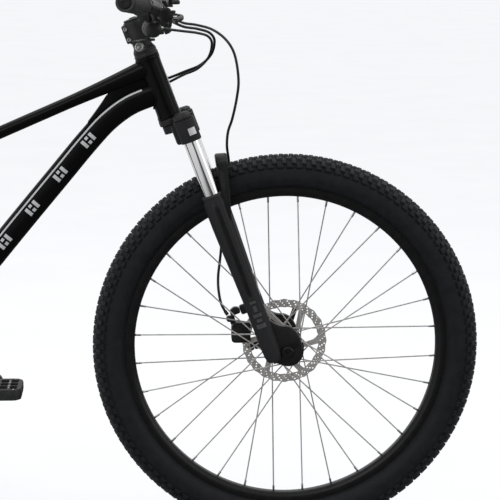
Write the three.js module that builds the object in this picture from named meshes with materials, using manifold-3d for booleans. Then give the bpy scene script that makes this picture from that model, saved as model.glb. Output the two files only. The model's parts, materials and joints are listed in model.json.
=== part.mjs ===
// Hardtail mountain bike with wide 27.5 inch tyres, hydraulic disc brakes and a short-travel
// suspension fork. Millimetres, +Z up, +X forward, +Y to the rider's left. The origin is on the
// ground, midway between the two axles.
import * as THREE from 'three';
import { mergeVertices } from 'three/addons/utils/BufferGeometryUtils.js';
import Module from 'manifold-3d';

const wasm = await Module();
wasm.setup();

// ---------------------------------------------------------------- driving dimensions
const GAP = 0.3;                  // clearance between pieces that touch
const DEG = Math.PI / 180;
const V3 = (x, y, z) => new THREE.Vector3(x, y, z);
const V2 = (x, y) => new THREE.Vector2(x, y);

const WHEELBASE = 1146;
const TYRE_RADIUS = 360;
const TYRE_HALF_WIDTH = 35;
const RIM_HOOK_RADIUS = 299;
const RIM_BED_RADIUS = 281;
const RIM_HALF_WIDTH = 16;
const SPOKES_PER_SIDE = 16;
const SPOKE_CROSSES = 3;
const FLANGE_RADIUS = 29;
const SPOKE_SIZE = 2;
const ROTOR_RADIUS = 80;
const WHEEL_FACETS = 36;
const ROUND = 12;                 // facets on middle-sized round pieces
const SMALL_ROUND = 8;            // and on small ones

const HEAD_ANGLE = 69.5 * DEG;
const FORK_OFFSET = 49.5;         // axle ahead of the steering axis
const FORK_LENGTH = 458;          // crown seat to axle, along the steering axis
const LEG_FORWARD = 22.5;         // leg centres ahead of the steering axis
const LEG_HALF_SPACING = 65;
const STANCHION_RADIUS = 15;
const LUG_RADIUS = 28;            // the fork's foot round the axle
const FRONT_HUB_HALF = 50;
const FRONT_ROTOR_Y = 39.5;

const BB_X = -138;
const BB_Z = 312;
const SEAT_ANGLE = 73.5 * DEG;
const SEAT_TUBE_LENGTH = 375;
const SEAT_TUBE_RADIUS = 17.4;
const SEATPOST_RADIUS = 15.45;
const SEATPOST_TOP = 622;         // along the seat tube axis from the bottom bracket
const SEATPOST_BOTTOM = 262;
const REAR_HUB_HALF = 70.5;
const REAR_ROTOR_Y = 55;

const CRANK_LENGTH = 175;
const CHAIN_LINE = 51;
const CHAIN_PITCH = 12.7;
const CHAINRING_TEETH = 30;
const COG_TEETH = [36, 32, 28, 24, 21, 18, 15, 13, 11];
const COG_PITCH_Y = 4;
const CASSETTE_START_Y = -30;
const CHAIN_COG = 5;              // the cog that the chain runs on
const PULLEY_TEETH = 11;
const PEDAL_LENGTH = 108;
const PEDAL_WIDTH = 96;
const PEDAL_THICKNESS = 20;
const PEDAL_CENTRE_Y = 141;

const BAR_HALF_LENGTH = 385;
const BAR_RADIUS = 11.1;
const BAR_CLAMP_RADIUS = 15.9;
const STEM_LENGTH = 45;
const BAR_HEIGHT = 186;           // bar centre above the crown seat, along the steering axis

const FRONT_AXLE = V3(WHEELBASE / 2, 0, TYRE_RADIUS);
const REAR_AXLE = V3(-WHEELBASE / 2, 0, TYRE_RADIUS);
const BOTTOM_BRACKET = V3(BB_X, 0, BB_Z);
const STEER_TILT = Math.PI / 2 - HEAD_ANGLE;
const SEAT_TILT = Math.PI / 2 - SEAT_ANGLE;

// The steering frame: z runs up the steering axis from the crown seat, x points forward.
const steerTurn = new THREE.Matrix4().makeRotationY(-STEER_TILT);
const CROWN_SEAT = V3(FORK_OFFSET, 0, -FORK_LENGTH).applyMatrix4(steerTurn).negate().add(FRONT_AXLE);
const steerPlace = steerTurn.clone().setPosition(CROWN_SEAT);
const seatPlace = new THREE.Matrix4().makeRotationY(-SEAT_TILT).setPosition(BOTTOM_BRACKET);
const BAR_CENTRE = V3(STEM_LENGTH, 0, BAR_HEIGHT).applyMatrix4(steerPlace);
const FORK_AXLE = V3(FORK_OFFSET, 0, -FORK_LENGTH);

// ---------------------------------------------------------------- solid helpers
function toSolid(geometry) {
  const bare = geometry.clone();
  bare.deleteAttribute('normal');
  bare.deleteAttribute('uv');
  const merged = mergeVertices(bare, 1e-3);
  const mesh = new wasm.Mesh({
    numProp: 3,
    vertProperties: new Float32Array(merged.attributes.position.array),
    triVerts: new Uint32Array(merged.index.array),
  });
  return new wasm.Manifold(mesh);
}

function toGeometry(solid) {
  const mesh = solid.getMesh();
  const geometry = new THREE.BufferGeometry();
  const [spots, corners] = [new Float32Array(mesh.vertProperties), new Uint32Array(mesh.triVerts)];
  geometry.setAttribute('position', new THREE.BufferAttribute(spots, 3));
  geometry.setIndex(new THREE.BufferAttribute(corners, 1));
  return geometry;
}

function join(...pieces) {
  return toGeometry(pieces.map(toSolid).reduce((all, one) => all.add(one)));
}

function cut(piece, ...tools) {
  return toGeometry(tools.map(toSolid).reduce((left, tool) => left.subtract(tool), toSolid(piece)));
}

// Turns the faces of a closed mesh outward if they point inward.
function outward(geometry) {
  const flat = geometry.index ? geometry.toNonIndexed() : geometry;
  const spots = flat.attributes.position;
  const [a, b, c] = [V3(), V3(), V3()];
  let volume = 0;
  for (let i = 0; i < spots.count; i += 3) {
    a.fromBufferAttribute(spots, i);
    b.fromBufferAttribute(spots, i + 1);
    c.fromBufferAttribute(spots, i + 2);
    volume += a.dot(b.cross(c));
  }
  if (volume < 0) {
    for (let i = 0; i < spots.count; i += 3) {
      a.fromBufferAttribute(spots, i);
      c.fromBufferAttribute(spots, i + 2);
      spots.setXYZ(i, c.x, c.y, c.z);
      spots.setXYZ(i + 2, a.x, a.y, a.z);
    }
  }
  return flat;
}

// A turned solid from an outline of [radius, height] points, about Z or about Y.
function turned(outline, facets, axis = 'z') {
  const geometry = new THREE.LatheGeometry(outline.map(([r, h]) => V2(r, h)), facets);
  if (axis === 'z') {
    geometry.rotateX(Math.PI / 2);
  }
  geometry.deleteAttribute('normal');
  geometry.deleteAttribute('uv');
  return outward(mergeVertices(geometry, 1e-4));
}

function closed(outline) {
  return [...outline, outline[0]];
}

function sleeve(inner, outer, low, high, facets, axis = 'z') {
  return turned(closed([[inner, low], [outer, low], [outer, high], [inner, high]]), facets, axis);
}

function rod(radius, low, high, facets, axis = 'z') {
  return turned([[0, low], [radius, low], [radius, high], [0, high]], facets, axis);
}

function box(x0, x1, y0, y1, z0, z1) {
  return new THREE.BoxGeometry(x1 - x0, y1 - y0, z1 - z0)
    .translate((x0 + x1) / 2, (y0 + y1) / 2, (z0 + z1) / 2);
}

// A plate: an outline in the X-Z plane, from y0 to y1.
function plate(shape, y0, y1, segments = 8) {
  const geometry = new THREE.ExtrudeGeometry(shape, {
    depth: y1 - y0, bevelEnabled: false, curveSegments: segments,
  });
  return outward(geometry.rotateX(Math.PI / 2).translate(0, y1, 0));
}

// A swept tube whose section may change: radii(t) gives its half sizes along the across
// direction and square to it.
function sweep(path, steps, sides, radii, across = V3(0, 1, 0)) {
  const spots = [];
  const faces = [];
  for (let i = 0; i <= steps; i += 1) {
    const t = i / steps;
    const centre = path.getPointAt(t);
    const ahead = path.getTangentAt(t);
    const first = across.clone().addScaledVector(ahead, -across.dot(ahead)).normalize();
    const second = ahead.clone().cross(first);
    const [wide, high] = radii(t);
    for (let j = 0; j < sides; j += 1) {
      const turn = (j / sides) * 2 * Math.PI;
      const spot = centre.clone()
        .addScaledVector(first, wide * Math.cos(turn))
        .addScaledVector(second, high * Math.sin(turn));
      spots.push(spot.x, spot.y, spot.z);
    }
  }
  for (let i = 0; i < steps; i += 1) {
    for (let j = 0; j < sides; j += 1) {
      const [p, q] = [i * sides + j, i * sides + ((j + 1) % sides)];
      faces.push(p, q, q + sides, p, q + sides, p + sides);
    }
  }
  for (let j = 1; j < sides - 1; j += 1) {
    const last = steps * sides;
    faces.push(0, j + 1, j, last, last + j, last + j + 1);
  }
  const geometry = new THREE.BufferGeometry();
  geometry.setAttribute('position', new THREE.Float32BufferAttribute(spots, 3));
  geometry.setIndex(faces);
  return outward(geometry);
}

const through = (points) => new THREE.CatmullRomCurve3(points, false, 'centripetal');
const ALONG_X = V3(1, 0, 0);
const ALONG_Z = V3(0, 0, 1);
const straight = (a, b) => new THREE.LineCurve3(a, b);
const constant = (radius) => () => [radius, radius];

// A rod between two points, turned on its own axis.
function rodBetween(a, b, radius, facets) {
  const turn = new THREE.Quaternion().setFromUnitVectors(V3(0, 0, 1), b.clone().sub(a).normalize());
  return rod(radius, 0, a.distanceTo(b), facets).applyQuaternion(turn).translate(a.x, a.y, a.z);
}

// A cord of constant section along a route.
function cord(points, radius, steps) {
  const ring = new THREE.Shape();
  const sides = 8;
  for (let j = 0; j < sides; j += 1) {
    const turn = (j / sides) * 2 * Math.PI;
    const spot = V2(radius * Math.cos(turn), radius * Math.sin(turn));
    if (j === 0) {
      ring.moveTo(spot.x, spot.y);
    } else {
      ring.lineTo(spot.x, spot.y);
    }
  }
  ring.closePath();
  return outward(new THREE.ExtrudeGeometry(ring, {
    steps, bevelEnabled: false, extrudePath: through(points),
  }));
}

// ---------------------------------------------------------------- materials
function finish(color, roughness, metalness) {
  return new THREE.MeshStandardMaterial({ color, roughness, metalness });
}
const GLOSS_BLACK = finish(0x0b0c0e, 0.18, 0.1);
const SATIN_BLACK = finish(0x131416, 0.45, 0.3);
const RUBBER = finish(0x17181a, 0.85, 0);
const RIM_BLACK = finish(0x101113, 0.4, 0.4);
const STEEL = finish(0xb9bcc0, 0.3, 1);
const CHROME = finish(0xd8dadd, 0.08, 1);
const PLASTIC = finish(0x1a1b1d, 0.6, 0);
const HOSE = finish(0x121314, 0.5, 0);

const bike = new THREE.Group();
function add(name, geometry, material, group = bike) {
  const mesh = new THREE.Mesh(geometry, material);
  mesh.name = name;
  group.add(mesh);
}

const steering = new THREE.Group();
steering.applyMatrix4(steerPlace);
bike.add(steering);
const frontWheel = new THREE.Group();
frontWheel.position.copy(FRONT_AXLE);
bike.add(frontWheel);
const rearWheel = new THREE.Group();
rearWheel.position.copy(REAR_AXLE);
bike.add(rearWheel);
const cranks = new THREE.Group();
cranks.position.copy(BOTTOM_BRACKET);
bike.add(cranks);
const seat = new THREE.Group();
seat.applyMatrix4(seatPlace);
bike.add(seat);

// ---------------------------------------------------------------- wheels
function tyre() {
  const crown = TYRE_RADIUS;
  const half = [
    [crown, 0], [crown - 3, 17], [crown - 13, 31], [crown - 30, TYRE_HALF_WIDTH], [crown - 54, 22],
    [RIM_HOOK_RADIUS + 1.5, 13.2], [RIM_HOOK_RADIUS - 6.5, 10],
  ];
  const other = half.slice(1).reverse().map(([r, y]) => [r, -y]);
  return turned(closed([...half, ...other]), WHEEL_FACETS, 'y');
}

function rim() {
  const wall = RIM_HALF_WIDTH - 2.2;
  const bed = RIM_BED_RADIUS + 4;
  return turned(closed([
    [RIM_BED_RADIUS, -8], [RIM_BED_RADIUS, 8], [bed + 3, RIM_HALF_WIDTH],
    [RIM_HOOK_RADIUS, RIM_HALF_WIDTH], [RIM_HOOK_RADIUS, wall], [bed, 8], [bed, -8],
    [RIM_HOOK_RADIUS, -wall], [RIM_HOOK_RADIUS, -RIM_HALF_WIDTH], [bed + 3, -RIM_HALF_WIDTH],
  ]), WHEEL_FACETS, 'y');
}

// One spoke as a thin square bar from its flange hole to the rim bed.
function spoke(hubAngle, rimAngle, hubY, rimY) {
  const reach = RIM_BED_RADIUS - 1.5;
  const foot = V3(FLANGE_RADIUS * Math.sin(hubAngle), hubY, FLANGE_RADIUS * Math.cos(hubAngle));
  const head = V3(reach * Math.sin(rimAngle), rimY, reach * Math.cos(rimAngle));
  const turn = new THREE.Quaternion().setFromUnitVectors(V3(0, 0, 1), head.clone().sub(foot).normalize());
  const middle = foot.clone().add(head).multiplyScalar(0.5);
  return new THREE.BoxGeometry(SPOKE_SIZE, SPOKE_SIZE, foot.distanceTo(head))
    .applyQuaternion(turn).translate(middle.x, middle.y, middle.z);
}

// Hub shell with both flanges and its laced spokes, all one piece of the wheel.
const SPOKE_PHASE = 0.2;
function spokedHub(shell, flanges) {
  const step = (2 * Math.PI) / SPOKES_PER_SIDE;
  const pieces = [turned(closed(shell), ROUND, 'y')];
  flanges.forEach(({ y, side }) => {
    for (let i = 0; i < SPOKES_PER_SIDE; i += 1) {
      const lead = i % 2 === 0 ? 1 : -1;
      const rimAngle = (i + SPOKE_PHASE + (side > 0 ? 0.5 : 0)) * step;
      const hubAngle = rimAngle + lead * (SPOKE_CROSSES - 0.25) * step;
      pieces.push(spoke(hubAngle, rimAngle, y + lead * 2.2, side * 3));
    }
  });
  return join(...pieces);
}

function frontHubShell() {
  return [
    [7, -37], [13, -37], [13, -33.5], [33, -33.5], [33, -30.5], [13, -30], [13, 22],
    [33, 22.5], [33, 25.5], [22, 26], [22, 38.2], [7, 38.2],
  ];
}

function rearHubShell() {
  return [
    [9, -27], [16, -27], [16, -21.5], [33, -21.5], [33, -18.5], [16, -18], [16, 34],
    [33, 34.5], [33, 37.5], [22, 38], [22, 53.7], [9, 53.7],
  ];
}

function rotor(y) {
  const disc = new THREE.Shape();
  disc.absarc(0, 0, ROTOR_RADIUS, 0, 2 * Math.PI, false);
  const bore = new THREE.Path();
  bore.absarc(0, 0, 17, 0, 2 * Math.PI, true);
  disc.holes.push(bore);
  const windows = 6;
  for (let i = 0; i < windows; i += 1) {
    const from = (i / windows) * 2 * Math.PI + 0.14;
    const to = from + (2 * Math.PI) / windows - 0.28;
    const corner = (radius, angle) => V2(radius * Math.cos(angle), radius * Math.sin(angle));
    disc.holes.push(new THREE.Path([corner(63, to), corner(61, (from + to) / 2), corner(63, from),
      corner(30, from), corner(29, (from + to) / 2), corner(30, to)]));
  }
  return plate(disc, y - 1, y + 1, 18);
}

function frontAxle() {
  const inner = FRONT_HUB_HALF - GAP;
  const outer = FRONT_HUB_HALF + 16;
  return turned([
    [0, -outer - 9], [9, -outer - 9], [10, -outer - GAP], [4.6, -outer - GAP], [4.6, -inner],
    [9.5, -inner], [9.5, -39], [5.5, -39], [5.5, 39.5], [9.5, 39.5], [9.5, inner],
    [4.6, inner], [4.6, outer + GAP], [8, outer + GAP], [8, outer + 6], [0, outer + 6],
  ], SMALL_ROUND, 'y');
}

function rearAxle() {
  const inner = REAR_HUB_HALF - GAP;
  const plateOut = REAR_HUB_HALF + 6 + GAP;
  return turned([
    [0, -plateOut - 9], [9, -plateOut - 9], [10.5, -plateOut], [4.8, -plateOut], [4.8, -inner],
    [9, -inner], [9, -67.5], [6, -67.5], [6, 57], [9, 57], [9, inner],
    [4.8, inner], [4.8, plateOut], [10.5, plateOut], [9, plateOut + 9], [0, plateOut + 9],
  ], SMALL_ROUND, 'y');
}

// The quick-release lever: a cam barrel at the axle end and a curved blade along the fork leg.
const QR_RADIUS = 7;
const QR_BLADE = V3(24, 0, 58);
const QR_PIVOT = V3(0, FRONT_HUB_HALF + 16 + 6 + GAP + QR_RADIUS, 0);
function quickRelease() {
  const pin = QR_BLADE.clone().cross(V3(0, 1, 0)).setLength(7);
  const barrel = rodBetween(QR_PIVOT.clone().sub(pin), QR_PIVOT.clone().add(pin), QR_RADIUS, ROUND);
  const y = QR_PIVOT.y;
  const blade = sweep(through([QR_PIVOT, V3(9, y + 4, 16), V3(17, y + 4, 36), V3(24, y, 58)]),
    5, 6, (t) => [3.2, 6.5 - 2 * t]);
  return join(barrel, blade);
}

add('front_tire', tyre(), RUBBER, frontWheel);
add('front_rim', rim(), RIM_BLACK, frontWheel);
const FRONT_FLANGES = [{ y: -32, side: -1 }, { y: 24, side: 1 }];
const REAR_FLANGES = [{ y: -20, side: -1 }, { y: 36, side: 1 }];
add('front_spokes', spokedHub(frontHubShell(), FRONT_FLANGES), STEEL, frontWheel);
add('front_rotor', rotor(FRONT_ROTOR_Y), STEEL, frontWheel);
add('front_axle', frontAxle(), SATIN_BLACK, frontWheel);
add('front_qr_lever', quickRelease(), SATIN_BLACK, frontWheel);
add('rear_tire', tyre(), RUBBER, rearWheel);
add('rear_rim', rim(), RIM_BLACK, rearWheel);
add('rear_spokes', spokedHub(rearHubShell(), REAR_FLANGES), STEEL, rearWheel);
add('rear_rotor', rotor(REAR_ROTOR_Y), STEEL, rearWheel);
add('rear_axle', rearAxle(), SATIN_BLACK, rearWheel);

// ---------------------------------------------------------------- fork, in the steering frame
const legAt = (geometry, side) => geometry.translate(LEG_FORWARD, side * LEG_HALF_SPACING, 0);
const SIDES = [-1, 1];
const CLAMP_LOW = -31;
const CLAMP_HIGH = 12;
const SEAL_TOP = -138;
const STEERER_TOP = 205;
const STEERER_RADIUS = 14.3;
const LEG_BORE_RADIUS = STANCHION_RADIUS + 2 * GAP;

function crownBridge() {
  const arch = new THREE.Shape();
  arch.moveTo(-64, -30);
  arch.quadraticCurveTo(-40, -26, -34, -15);
  arch.lineTo(34, -15);
  arch.quadraticCurveTo(40, -26, 64, -30);
  arch.lineTo(64, 8);
  arch.quadraticCurveTo(36, 8, 24, 1);
  arch.lineTo(-24, 1);
  arch.quadraticCurveTo(-36, 8, -64, 8);
  arch.closePath();
  const bridge = new THREE.ExtrudeGeometry(arch, { depth: 38, bevelEnabled: false, curveSegments: 3 });
  return outward(bridge.rotateX(Math.PI / 2).rotateZ(Math.PI / 2).translate(-4, 0, 0));
}

function forkCrown() {
  const steerer = turned([
    [0, -10], [20, -10], [20, 4.5], [STEERER_RADIUS, 4.5], [STEERER_RADIUS, STEERER_TOP], [0, STEERER_TOP],
  ], ROUND);
  const clamps = SIDES.map((side) => legAt(rod(19.5, CLAMP_LOW, CLAMP_HIGH, ROUND), side));
  const bores = SIDES.map((side) => legAt(rod(LEG_BORE_RADIUS, CLAMP_LOW - 9, CLAMP_HIGH + 9, ROUND), side));
  return cut(join(crownBridge(), steerer, ...clamps), ...bores);
}

function stanchion(side) {
  const top = side > 0
    ? [[STANCHION_RADIUS, CLAMP_HIGH + GAP], [17, CLAMP_HIGH + GAP], [17, 17], [13, 20], [0, 20]]
    : [[STANCHION_RADIUS, 10], [0, 10]];
  return legAt(turned([[0, -246], [STANCHION_RADIUS, -246], ...top], ROUND), side);
}

function lockoutKnob() {
  const knob = turned([[0, CLAMP_HIGH + GAP], [17, CLAMP_HIGH + GAP], [16, 19], [12, 24], [0, 24]], ROUND);
  const lever = box(-3, 19.5, -2.5, 2.5, 14, 19);
  return legAt(join(knob, lever), -1);
}

// One lower leg: a tapered casting, closed at its foot.
function lowerLeg(side) {
  return legAt(turned([
    [0, -466], [13, -466], [17, -452], [17, -340], [21.3, -200],
    [21.3, -150], [19, -145], [19, SEAL_TOP], [0, SEAL_TOP],
  ], ROUND), side);
}

// The bridge over the tyre. It leans forward from the leg tops, grows deeper on its way up, and its top
// slopes down forward.
const ARCH_FOOT = -190;
const ARCH_FOOT_BACK = 24;
const ARCH_FOOT_DEPTH = 16;
const ARCH_LEAN = 0.19;
const ARCH_SPREAD = 0.12;
const ARCH_UNDERSIDE = -91;
const ARCH_SLOPE = 0.45;
function lowerArch() {
  const arch = new THREE.Shape();
  arch.moveTo(0, -75);
  arch.bezierCurveTo(30, -75, 48, -86, 60, -108);
  arch.bezierCurveTo(70, -128, 84, -140, 80, ARCH_FOOT);
  arch.lineTo(50, ARCH_FOOT);
  arch.lineTo(44, -128);
  arch.bezierCurveTo(42, -106, 32, -92, 0, -91);
  arch.bezierCurveTo(-32, -92, -42, -106, -44, -128);
  arch.lineTo(-50, ARCH_FOOT);
  arch.lineTo(-80, ARCH_FOOT);
  arch.bezierCurveTo(-84, -140, -70, -128, -60, -108);
  arch.bezierCurveTo(-48, -86, -30, -75, 0, -75);
  const bridge = new THREE.ExtrudeGeometry(arch, { depth: 1, bevelEnabled: false, curveSegments: 4 });
  bridge.rotateX(Math.PI / 2).rotateZ(Math.PI / 2);
  const spots = bridge.attributes.position;
  for (let i = 0; i < spots.count; i += 1) {
    const [forward, z] = [spots.getX(i), spots.getZ(i)];
    const above = Math.max(0, z - ARCH_UNDERSIDE);
    const low = z - ARCH_SLOPE * above * forward;
    const rise = low - ARCH_FOOT;
    const depth = ARCH_FOOT_DEPTH + ARCH_SPREAD * rise;
    spots.setX(i, ARCH_FOOT_BACK + ARCH_LEAN * rise + depth * forward);
    spots.setZ(i, low);
  }
  return outward(bridge);
}

function dropout(side) {
  const foot = new THREE.Shape();
  foot.moveTo(LEG_FORWARD - 10, -FORK_LENGTH - 5);
  foot.lineTo(LEG_FORWARD - 10, -FORK_LENGTH + 40);
  foot.lineTo(LEG_FORWARD + 12, -FORK_LENGTH + 78);
  foot.quadraticCurveTo(FORK_OFFSET - 2, -FORK_LENGTH + 50, FORK_OFFSET + 13, -FORK_LENGTH + 47);
  foot.quadraticCurveTo(FORK_OFFSET + 30, -FORK_LENGTH + 40, FORK_OFFSET + 31, -FORK_LENGTH + 14);
  foot.absarc(FORK_OFFSET + 2, -FORK_LENGTH, LUG_RADIUS, 0.1, -2.4, true);
  foot.closePath();
  const inner = FRONT_HUB_HALF;
  const [y0, y1] = side > 0 ? [inner, inner + 16] : [-inner - 16, -inner];
  return plate(foot, y0, y1, 5);
}

function forkLowers() {
  const legs = SIDES.map(lowerLeg);
  const feet = SIDES.map(dropout);
  const tab = box(-8, 14, 50, 64, -452, -372);
  const bores = SIDES.map((side) => legAt(rod(LEG_BORE_RADIUS, -336, SEAL_TOP + 9, ROUND), side));
  const reliefs = SIDES.map((side) => legAt(rod(19.8, SEAL_TOP + 0.1, -40, ROUND), side));
  const axleHole = rod(5, -90, 90, SMALL_ROUND, 'y').translate(FORK_AXLE.x, 0, FORK_AXLE.z);
  const hubRoom = rod(34, -FRONT_HUB_HALF, FRONT_HUB_HALF, ROUND, 'y').translate(FORK_AXLE.x, 0, FORK_AXLE.z);
  return cut(join(...legs, ...feet, lowerArch(), tab), ...bores, ...reliefs, axleHole, hubRoom);
}

// A two-piece caliper with a slot for the disc: a rounded block with a hose boss.
function caliperBlock(length, height, inner, outer) {
  const block = new THREE.Shape();
  const [a, b] = [length / 2, height / 2];
  block.moveTo(-a, -b + 8);
  block.quadraticCurveTo(-a, -b, -a + 8, -b);
  block.lineTo(a, -b);
  block.lineTo(a, b);
  block.lineTo(-a + 12, b);
  block.quadraticCurveTo(-a, b, -a, b - 10);
  block.closePath();
  return plate(block, inner, outer, 3);
}

function frontCaliper() {
  const body = caliperBlock(36, 38, 27, 49.5).rotateY(STEER_TILT).translate(-21, 0, -413);
  const arm = box(-30, -8 - GAP, 42, 60, -390, -379.5);
  const foot = box(-18, -8 - GAP, 42, 60, -456, -428);
  const link = box(-36, -24, 40, 49.5, -402, -379.5);
  const banjo = rod(5, 40, 58, SMALL_ROUND, 'y').translate(-30, 0, -384);
  const slot = rod(ROTOR_RADIUS + 3, FRONT_ROTOR_Y - 2, FRONT_ROTOR_Y + 2, 40, 'y')
    .translate(FORK_AXLE.x, 0, FORK_AXLE.z);
  return cut(join(body, arm, foot, link, banjo), slot);
}

add('fork_crown', forkCrown(), GLOSS_BLACK, steering);
add('stanchion_right', stanchion(-1), CHROME, steering);
add('stanchion_left', stanchion(1), CHROME, steering);
add('fork_lockout_knob', lockoutKnob(), PLASTIC, steering);
add('fork_lowers', forkLowers(), GLOSS_BLACK, steering);
add('front_caliper', frontCaliper(), SATIN_BLACK, steering);

// ---------------------------------------------------------------- headset, stem and bar
const CUP_LOW = 5;
const HEAD_LOW = 17;
const HEAD_HIGH = 137;
const SPACER_LOW = 147.5;
const STEM_LOW = 166;
const STEM_HIGH = 206;

function headTube() {
  return turned(closed([
    [18, HEAD_LOW + GAP], [22.8, HEAD_LOW + GAP], [21.5, 34], [21.5, 124],
    [22.5, HEAD_HIGH], [18, HEAD_HIGH],
  ]), 18);
}

// The space round the bar's thick middle.
function barClampRoom() {
  return rod(BAR_CLAMP_RADIUS + 3 * GAP, -40, 40, ROUND, 'y').translate(STEM_LENGTH, 0, BAR_HEIGHT);
}

function stem() {
  const clamp = rod(20, STEM_LOW, STEM_HIGH, ROUND);
  const barShell = rod(22, -25, 25, ROUND, 'y').translate(STEM_LENGTH, 0, BAR_HEIGHT);
  const neck = box(12, STEM_LENGTH, -15, 15, BAR_HEIGHT - 13, BAR_HEIGHT + 13);
  const ears = box(-25, -16, -12, 12, STEM_LOW + 3, STEM_HIGH - 3);
  const split = box(-30, -12, -1.2, 1.2, STEM_LOW - 5, STEM_HIGH + 5);
  const steererRoom = rod(STEERER_RADIUS + 2 * GAP, STEM_LOW - 5, STEM_HIGH + 5, ROUND);
  const clampRoom = barClampRoom();
  const front = box(STEM_LENGTH + 1, STEM_LENGTH + 40, -40, 40, BAR_HEIGHT - 40, BAR_HEIGHT + 40);
  return cut(join(clamp, barShell, neck, ears), steererRoom, clampRoom, front, split);
}

function stemFaceplate() {
  const shell = rod(22, -25, 25, ROUND, 'y').translate(STEM_LENGTH, 0, BAR_HEIGHT);
  const clampRoom = barClampRoom();
  const back = box(STEM_LENGTH - 40, STEM_LENGTH + 2, -40, 40, BAR_HEIGHT - 40, BAR_HEIGHT + 40);
  const window = box(STEM_LENGTH, STEM_LENGTH + 40, -7, 7, BAR_HEIGHT - 10, BAR_HEIGHT + 10);
  return cut(shell, clampRoom, back, window);
}

// The bar, relative to its clamped middle: it rises, then sweeps back and up.
const BAR_BEND_START = 50;
const BAR_BEND_END = 130;
const BAR_RISE = 32;
const BACK_SWEEP = Math.tan(11 * DEG);
const UP_SWEEP = Math.tan(5 * DEG);
function barPoint(y) {
  const out = Math.abs(y) - BAR_BEND_END;
  return V3(BAR_CENTRE.x - 9 - out * BACK_SWEEP, y, BAR_CENTRE.z + BAR_RISE + out * UP_SWEEP);
}

function handlebar() {
  const centre = (y) => V3(BAR_CENTRE.x, y, BAR_CENTRE.z);
  const half = (side) => [
    barPoint(side * BAR_HALF_LENGTH), barPoint(side * 300), barPoint(side * 200),
    barPoint(side * BAR_BEND_END), V3(BAR_CENTRE.x - 4, side * 92, BAR_CENTRE.z + 15),
    centre(side * BAR_BEND_START), centre(side * 26),
  ];
  const path = through([...half(-1), ...half(1).reverse()]);
  const radii = (t) => {
    const away = Math.abs(t - 0.5) * 2;
    const swell = THREE.MathUtils.clamp((0.2 - away) / 0.09, 0, 1);
    const radius = THREE.MathUtils.lerp(BAR_RADIUS, BAR_CLAMP_RADIUS, swell);
    return [radius, radius];
  };
  return sweep(path, 24, 10, radii, ALONG_X);
}

function grip(side) {
  const from = barPoint(side * 256);
  const to = barPoint(side * (BAR_HALF_LENGTH + 2));
  const body = rodBetween(from, to, 16.5, ROUND);
  const flange = rodBetween(from, barPoint(side * 262), 19, ROUND);
  return cut(join(body, flange), barRoom(side * 240, side * (BAR_HALF_LENGTH + GAP)));
}

// A hydraulic brake lever body: a clamp round the bar and a reservoir along it.
const MASTER_Y = 232;
function barAxisAt(y) {
  const here = barPoint(y);
  return { here, along: barPoint(y + Math.sign(y)).sub(here).normalize() };
}

// The space that the bar takes up between two places along it.
function barRoom(y0, y1) {
  return rodBetween(barPoint(y0), barPoint(y1), BAR_RADIUS + 2 * GAP, ROUND);
}

function barRing(y, width, radius) {
  const { here, along } = barAxisAt(y);
  const ends = [-0.5, 0.5].map((half) => here.clone().addScaledVector(along, half * width));
  return rodBetween(ends[0], ends[1], radius, ROUND);
}

function brakeMaster(side) {
  const ring = barRing(side * MASTER_Y, 12, 15);
  const spot = (dx, y, dz) => barPoint(side * MASTER_Y).add(V3(dx, side * (y - MASTER_Y), dz));
  const bridge = rodBetween(spot(8, MASTER_Y, -3), spot(34, MASTER_Y, -13), 7, 8);
  const reservoir = sweep(straight(spot(37, 248, -15), spot(33, 176, -19)), 3, 10,
    (t) => [9, 11.5 - 4 * t], ALONG_X);
  const pivotBlock = rodBetween(spot(46, 240, -27), spot(46, 240, -7), 9, 10);
  return cut(join(ring, bridge, reservoir, pivotBlock), barRoom(side * 150, side * 260), leverRoom(side));
}

// The lever turns on a pin across the front of its body.
function leverPivot(side) {
  return barPoint(side * MASTER_Y).add(V3(51, side * 10, -17));
}

function leverRoom(side) {
  const pin = leverPivot(side);
  return rodBetween(pin.clone().add(V3(0, 0, -5.8)), pin.clone().add(V3(0, 0, 5.8)), 13, 12);
}

function brakeLever(side) {
  const pin = leverPivot(side);
  const eye = rodBetween(pin.clone().add(V3(0, 0, -4.8)), pin.clone().add(V3(0, 0, 4.8)), 6, SMALL_ROUND);
  const spot = (dx, dy, dz) => pin.clone().add(V3(dx, side * dy, dz));
  const blade = sweep(through([spot(2, 0, 0), spot(13, 14, -1), spot(12, 34, -2), spot(4, 62, -3),
    spot(0, 88, -3), spot(4, 103, -3)]), 9, 8, () => [3.2, 5], ALONG_X);
  return join(eye, blade);
}

function shifter() {
  const y = -204;
  const ring = barRing(y, 9, 14);
  const spot = (dx, dy, dz) => barPoint(y).add(V3(dx, dy, dz));
  const neck = rodBetween(spot(0, 0, -10), spot(4, 4, -30), 6, 8);
  const body = new THREE.CapsuleGeometry(15, 22, 2, 10).rotateZ(12 * DEG);
  const place = spot(8, 8, -39);
  body.translate(place.x, place.y, place.z);
  return cut(join(ring, neck, outward(body)), barRoom(y - 30, y + 30));
}

function shifterLever() {
  const at = barPoint(-204).add(V3(-2, 2, -54.5));
  const spot = (dx, dy, dz) => at.clone().add(V3(dx, dy, dz));
  const hub = rodBetween(spot(8, 4, -1), spot(8, 4, -5), 8, SMALL_ROUND);
  const paddle = sweep(through([spot(6, 0, -3), spot(-8, -10, -4), spot(-18, -24, -5)]), 6, 8,
    (t) => [2, 5 + 3 * t], ALONG_Z);
  return join(hub, paddle);
}

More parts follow.
